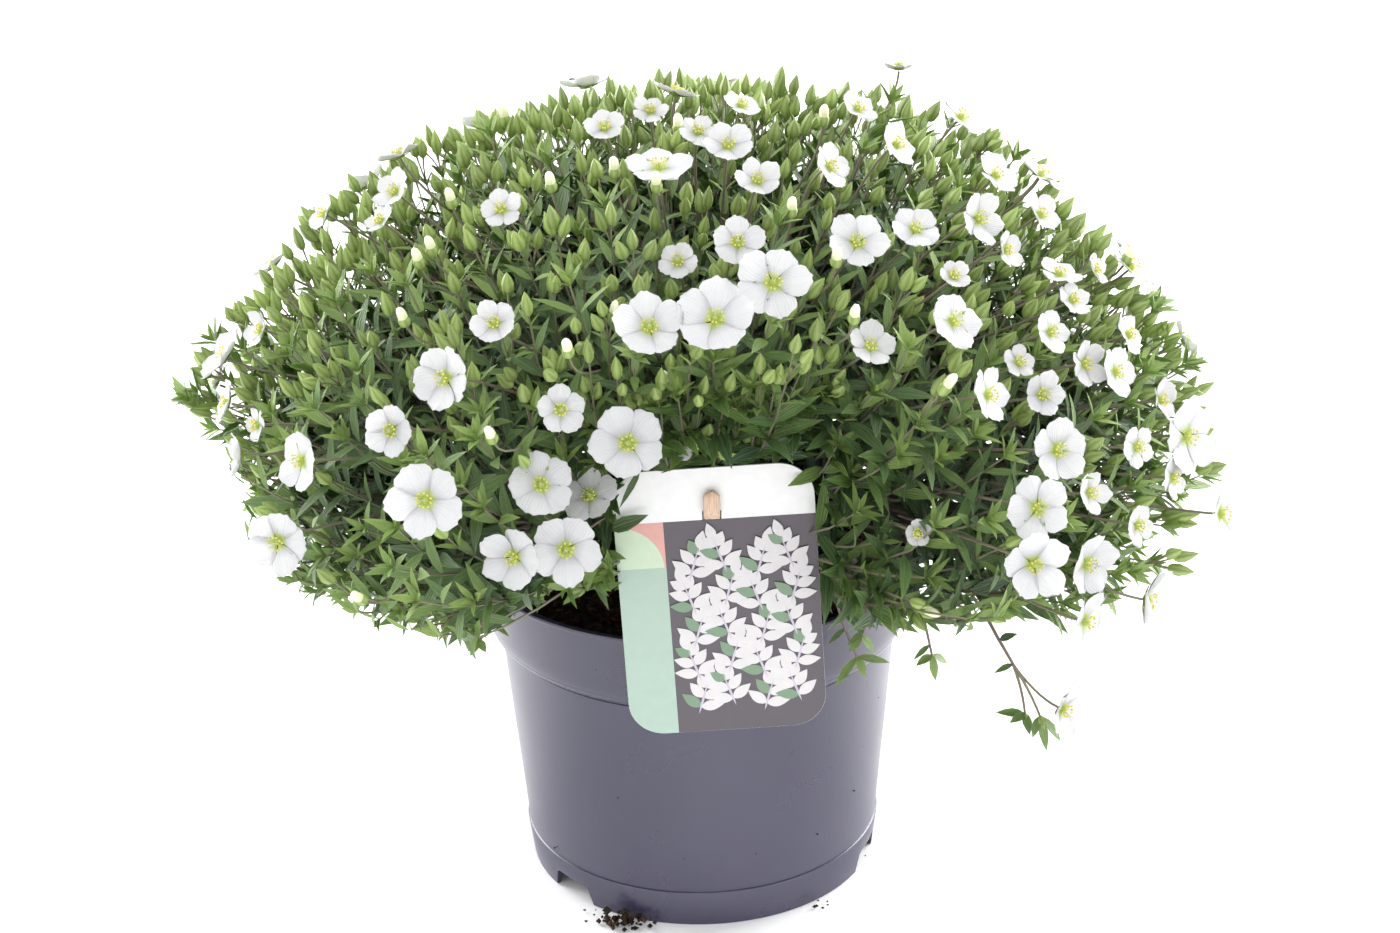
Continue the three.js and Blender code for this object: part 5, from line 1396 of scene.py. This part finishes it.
# Buds about to open: ripe buds on stalks of their own, whose green sepals part over a cream tip of
# furled petals. Each is given by its pixel in the view.
OPENING_LENGTH, OPENING_RADIUS = 8.5, 2.6
OPENING_BUDS = [
    (450, 197), (550, 181), (417, 257), (402, 316), (614, 166), (792, 206), (678, 123), (656, 181),
    (824, 114), (855, 313), (567, 347), (837, 256), (358, 597), (1130, 254), (490, 434), (430, 245),
]
for px, py in OPENING_BUDS:
    tip = seen_at(px, py, 5)
    rise = unit(outward(tip) + np.array([0, 0, 0.8]))
    seat = tip - rise * 5
    growth = spray_at(tip)
    root = HEART + (tip - HEART) * 0.78
    add_stem(growth, bent_line(root, seat - rise * 12, seat, 6), 0.5, 0.7, 4)
    add_bud(growth, seat, rise, OPENING_LENGTH, OPENING_RADIUS, 0.7, opening=1.0)

# Leaves over the label's edges: a few leaves at the front of the foliage have grown across the card,
# on short stems from behind it. Each goes from its root to its tip, both as a pixel and a distance in
# front of the pot's axis, and has its width and its tone.
OVERLAPPING_LEAVES = [
    ((648, 461, 97), (669, 470, 101), 5.0, 0.3), ((641, 468, 98), (619, 509, 101), 2.6, 0.3),
    ((608, 530, 98), (648, 515, 101), 6.0, 0.25), ((824, 468, 92), (788, 486, 101), 5.5, 0.7),
    ((604, 552, 97), (626, 559, 100), 3.5, 0.6), ((600, 590, 96), (622, 582, 100), 3.2, 0.6),
]


def seen_in_front(px, py, front):
    """The point of a pixel's line of sight at a distance in front of the pot's axis, in mm."""
    sight = sight_through(px, py)
    return EYE + sight * (-front - EYE[1]) / sight[1]


for start, end, width, tone in OVERLAPPING_LEAVES:
    root, tip = seen_in_front(*start), seen_in_front(*end)
    growth = spray_at(root)
    length = np.linalg.norm(tip - root)
    lay_leaf(growth, root, tip - root, unit(EYE - root), length, width, tone, 0.05)
    inner = root + np.array([math.copysign(6, root[0] - CARD_CENTRE[0]), 22, 6])
    add_stem(growth, bent_line(inner, root + np.array([0, 8, 3]), root, 5), 0.5, 0.5, 4)

# Hanging shoots: a few long stems lean out over the rim and hang down, the longest of them on the
# right with a fork, tufts of leaves at its two ends, and one flower.
# The short ones: the place of each one's root, and the points of its stem and the tips of its end
# leaves, as pixels and distances in front of the pot's axis
HANGING = [
    ((52, -66, 174), [(836, 595, 88), (843, 623, 84), (857, 657, 80)],
     [(833, 687, 82), (892, 661, 76), (866, 678, 84)]),
    ((84, -44, 168), [(924, 618, 60), (932, 655, 62)], [(916, 665, 66), (950, 663, 58), (936, 682, 64)]),
    ((-84, -46, 168), [(492, 622, 72), (478, 640, 80)], [(455, 632, 84), (470, 656, 84), (486, 652, 84)]),
    ((60, -62, 172), [(866, 612, 84), (862, 636, 84)], [(848, 652, 86), (876, 652, 82)]),
]


def through(points, steps=6):
    """A smooth line through points."""
    ends = np.concatenate([[2 * points[0] - points[1]], points, [2 * points[-1] - points[-2]]])
    line = []
    for a, b, c, d in zip(ends, ends[1:], ends[2:], ends[3:]):
        for t in np.arange(steps) / steps:
            line.append(0.5 * (2 * b + (c - a) * t + (2 * a - 5 * b + 4 * c - d) * t ** 2
                               + (3 * b - a - 3 * c + d) * t ** 3))
    return np.array(line + [points[-1]])


def seen_leaf(growth, root, tip, width, tone):
    """A leaf between two places that turns its upper side to the viewer and upwards."""
    above = unit(EYE - root) + np.array([0.0, 0, 0.6])
    lay_leaf(growth, root, tip - root, above, np.linalg.norm(tip - root), width, tone, 0.12)


for root, stem, tips in HANGING:
    root = np.array(root, float)
    growth = spray_at(root)
    line = through(np.array([root] + [seen_in_front(*place) for place in stem]))
    add_stem(growth, line, np.linspace(0.75, 0.5, len(line)), 0.15, 5)
    for tip in tips:
        seen_leaf(growth, line[-1], seen_in_front(*tip), 3.8, 0.75)
    for k, side in ((len(line) // 2, 1), (len(line) // 2 + 4, -1)):
        seen_leaf(growth, line[k], line[k] + np.array([side * 7, -3, -5]), 2.6, 0.6)

# The long one, given in the same way, with the end of each leg and the tips of its leaves
TRAILING_ROOT = (84, -40, 172)
TRAILING_STEM = [(973, 597, 50), (999, 640, 60), (1013, 664, 64)]
TRAILING_LEGS = [
    ((1025, 714, 66), [(995, 711, 64), (1010, 722, 70), (1030, 734, 74)]),
    ((1040, 716, 66), [(1048, 754, 66), (1066, 743, 60), (1032, 738, 70)]),
]
trailing = Growth()
line = through(np.array([TRAILING_ROOT] + [seen_in_front(*place) for place in TRAILING_STEM], float))
fork = line[-1]
add_stem(trailing, line, np.linspace(0.95, 0.7, len(line)), 0.3, 6)
seen_leaf(trailing, line[-7], line[-7] + np.array([7, -2, 4]), 3.6, 0.15)
seen_leaf(trailing, fork, fork + np.array([-8, -3, -2]), 2.8, 0.5)
for end, tips in TRAILING_LEGS:
    foot = seen_in_front(*end)
    leg = bent_line(fork, (fork + foot) / 2 + np.array([1.5, -1, 0]), foot, 7)
    add_stem(trailing, leg, np.linspace(0.7, 0.5, 7), 0.55, 5)
    for tip in tips:
        seen_leaf(trailing, foot, seen_in_front(*tip), 4.0, 0.6)
    add_bud(trailing, foot, unit(np.array([0.3, -0.3, -0.9])), 6.0, 1.8, 0.6)
place, face, _ = clear_flowers[TRAILING_FLOWER]
add_stem(trailing, bent_line(fork, place - face * 12, place - face * STALK_END, 8), 0.55, 0.7, 5)
hanging_piece = trailing.piece("hanging_stem", foliage_finishes)
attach(hanging_piece, "root")
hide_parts("trailing_shoot")

# The foliage's pieces: the stems, leaves and buds of the crown and of each sector, grown together.
SPRAY_NODES = ["spray_crown"] + [f"spray_{sector:02d}" for sector in range(1, SECTORS + 1)]
for node, growth in zip(SPRAY_NODES, sprays):
    piece = growth.piece(node.replace("spray", "foliage"), foliage_finishes)
    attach(piece, "root")
    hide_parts(node)

# The flowers' pieces: each clear flower is one, and the tucked ones of each sector are one together.
BLOOM_SHARP, TUCKED_SEED = 60, 100
for i, (name, clear) in enumerate(zip(clear_names, clear_flowers)):
    growth = Growth()
    add_flower(growth, *clear, i)
    piece = growth.piece(name.replace("flower", "bloom"), bloom_finishes, BLOOM_SHARP)
    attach(piece, "root")
    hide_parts(name)

for sector, node in enumerate(SPRAY_NODES):
    growth = Growth()
    for i, tucked in enumerate(tucked_flowers):
        if sector_of(tucked[0]) == sector:
            add_flower(growth, *tucked, TUCKED_SEED + i)
    if growth.count:
        piece = growth.piece(node.replace("spray", "tucked_blooms"), bloom_finishes, BLOOM_SHARP)
        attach(piece, "root")
        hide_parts(node)
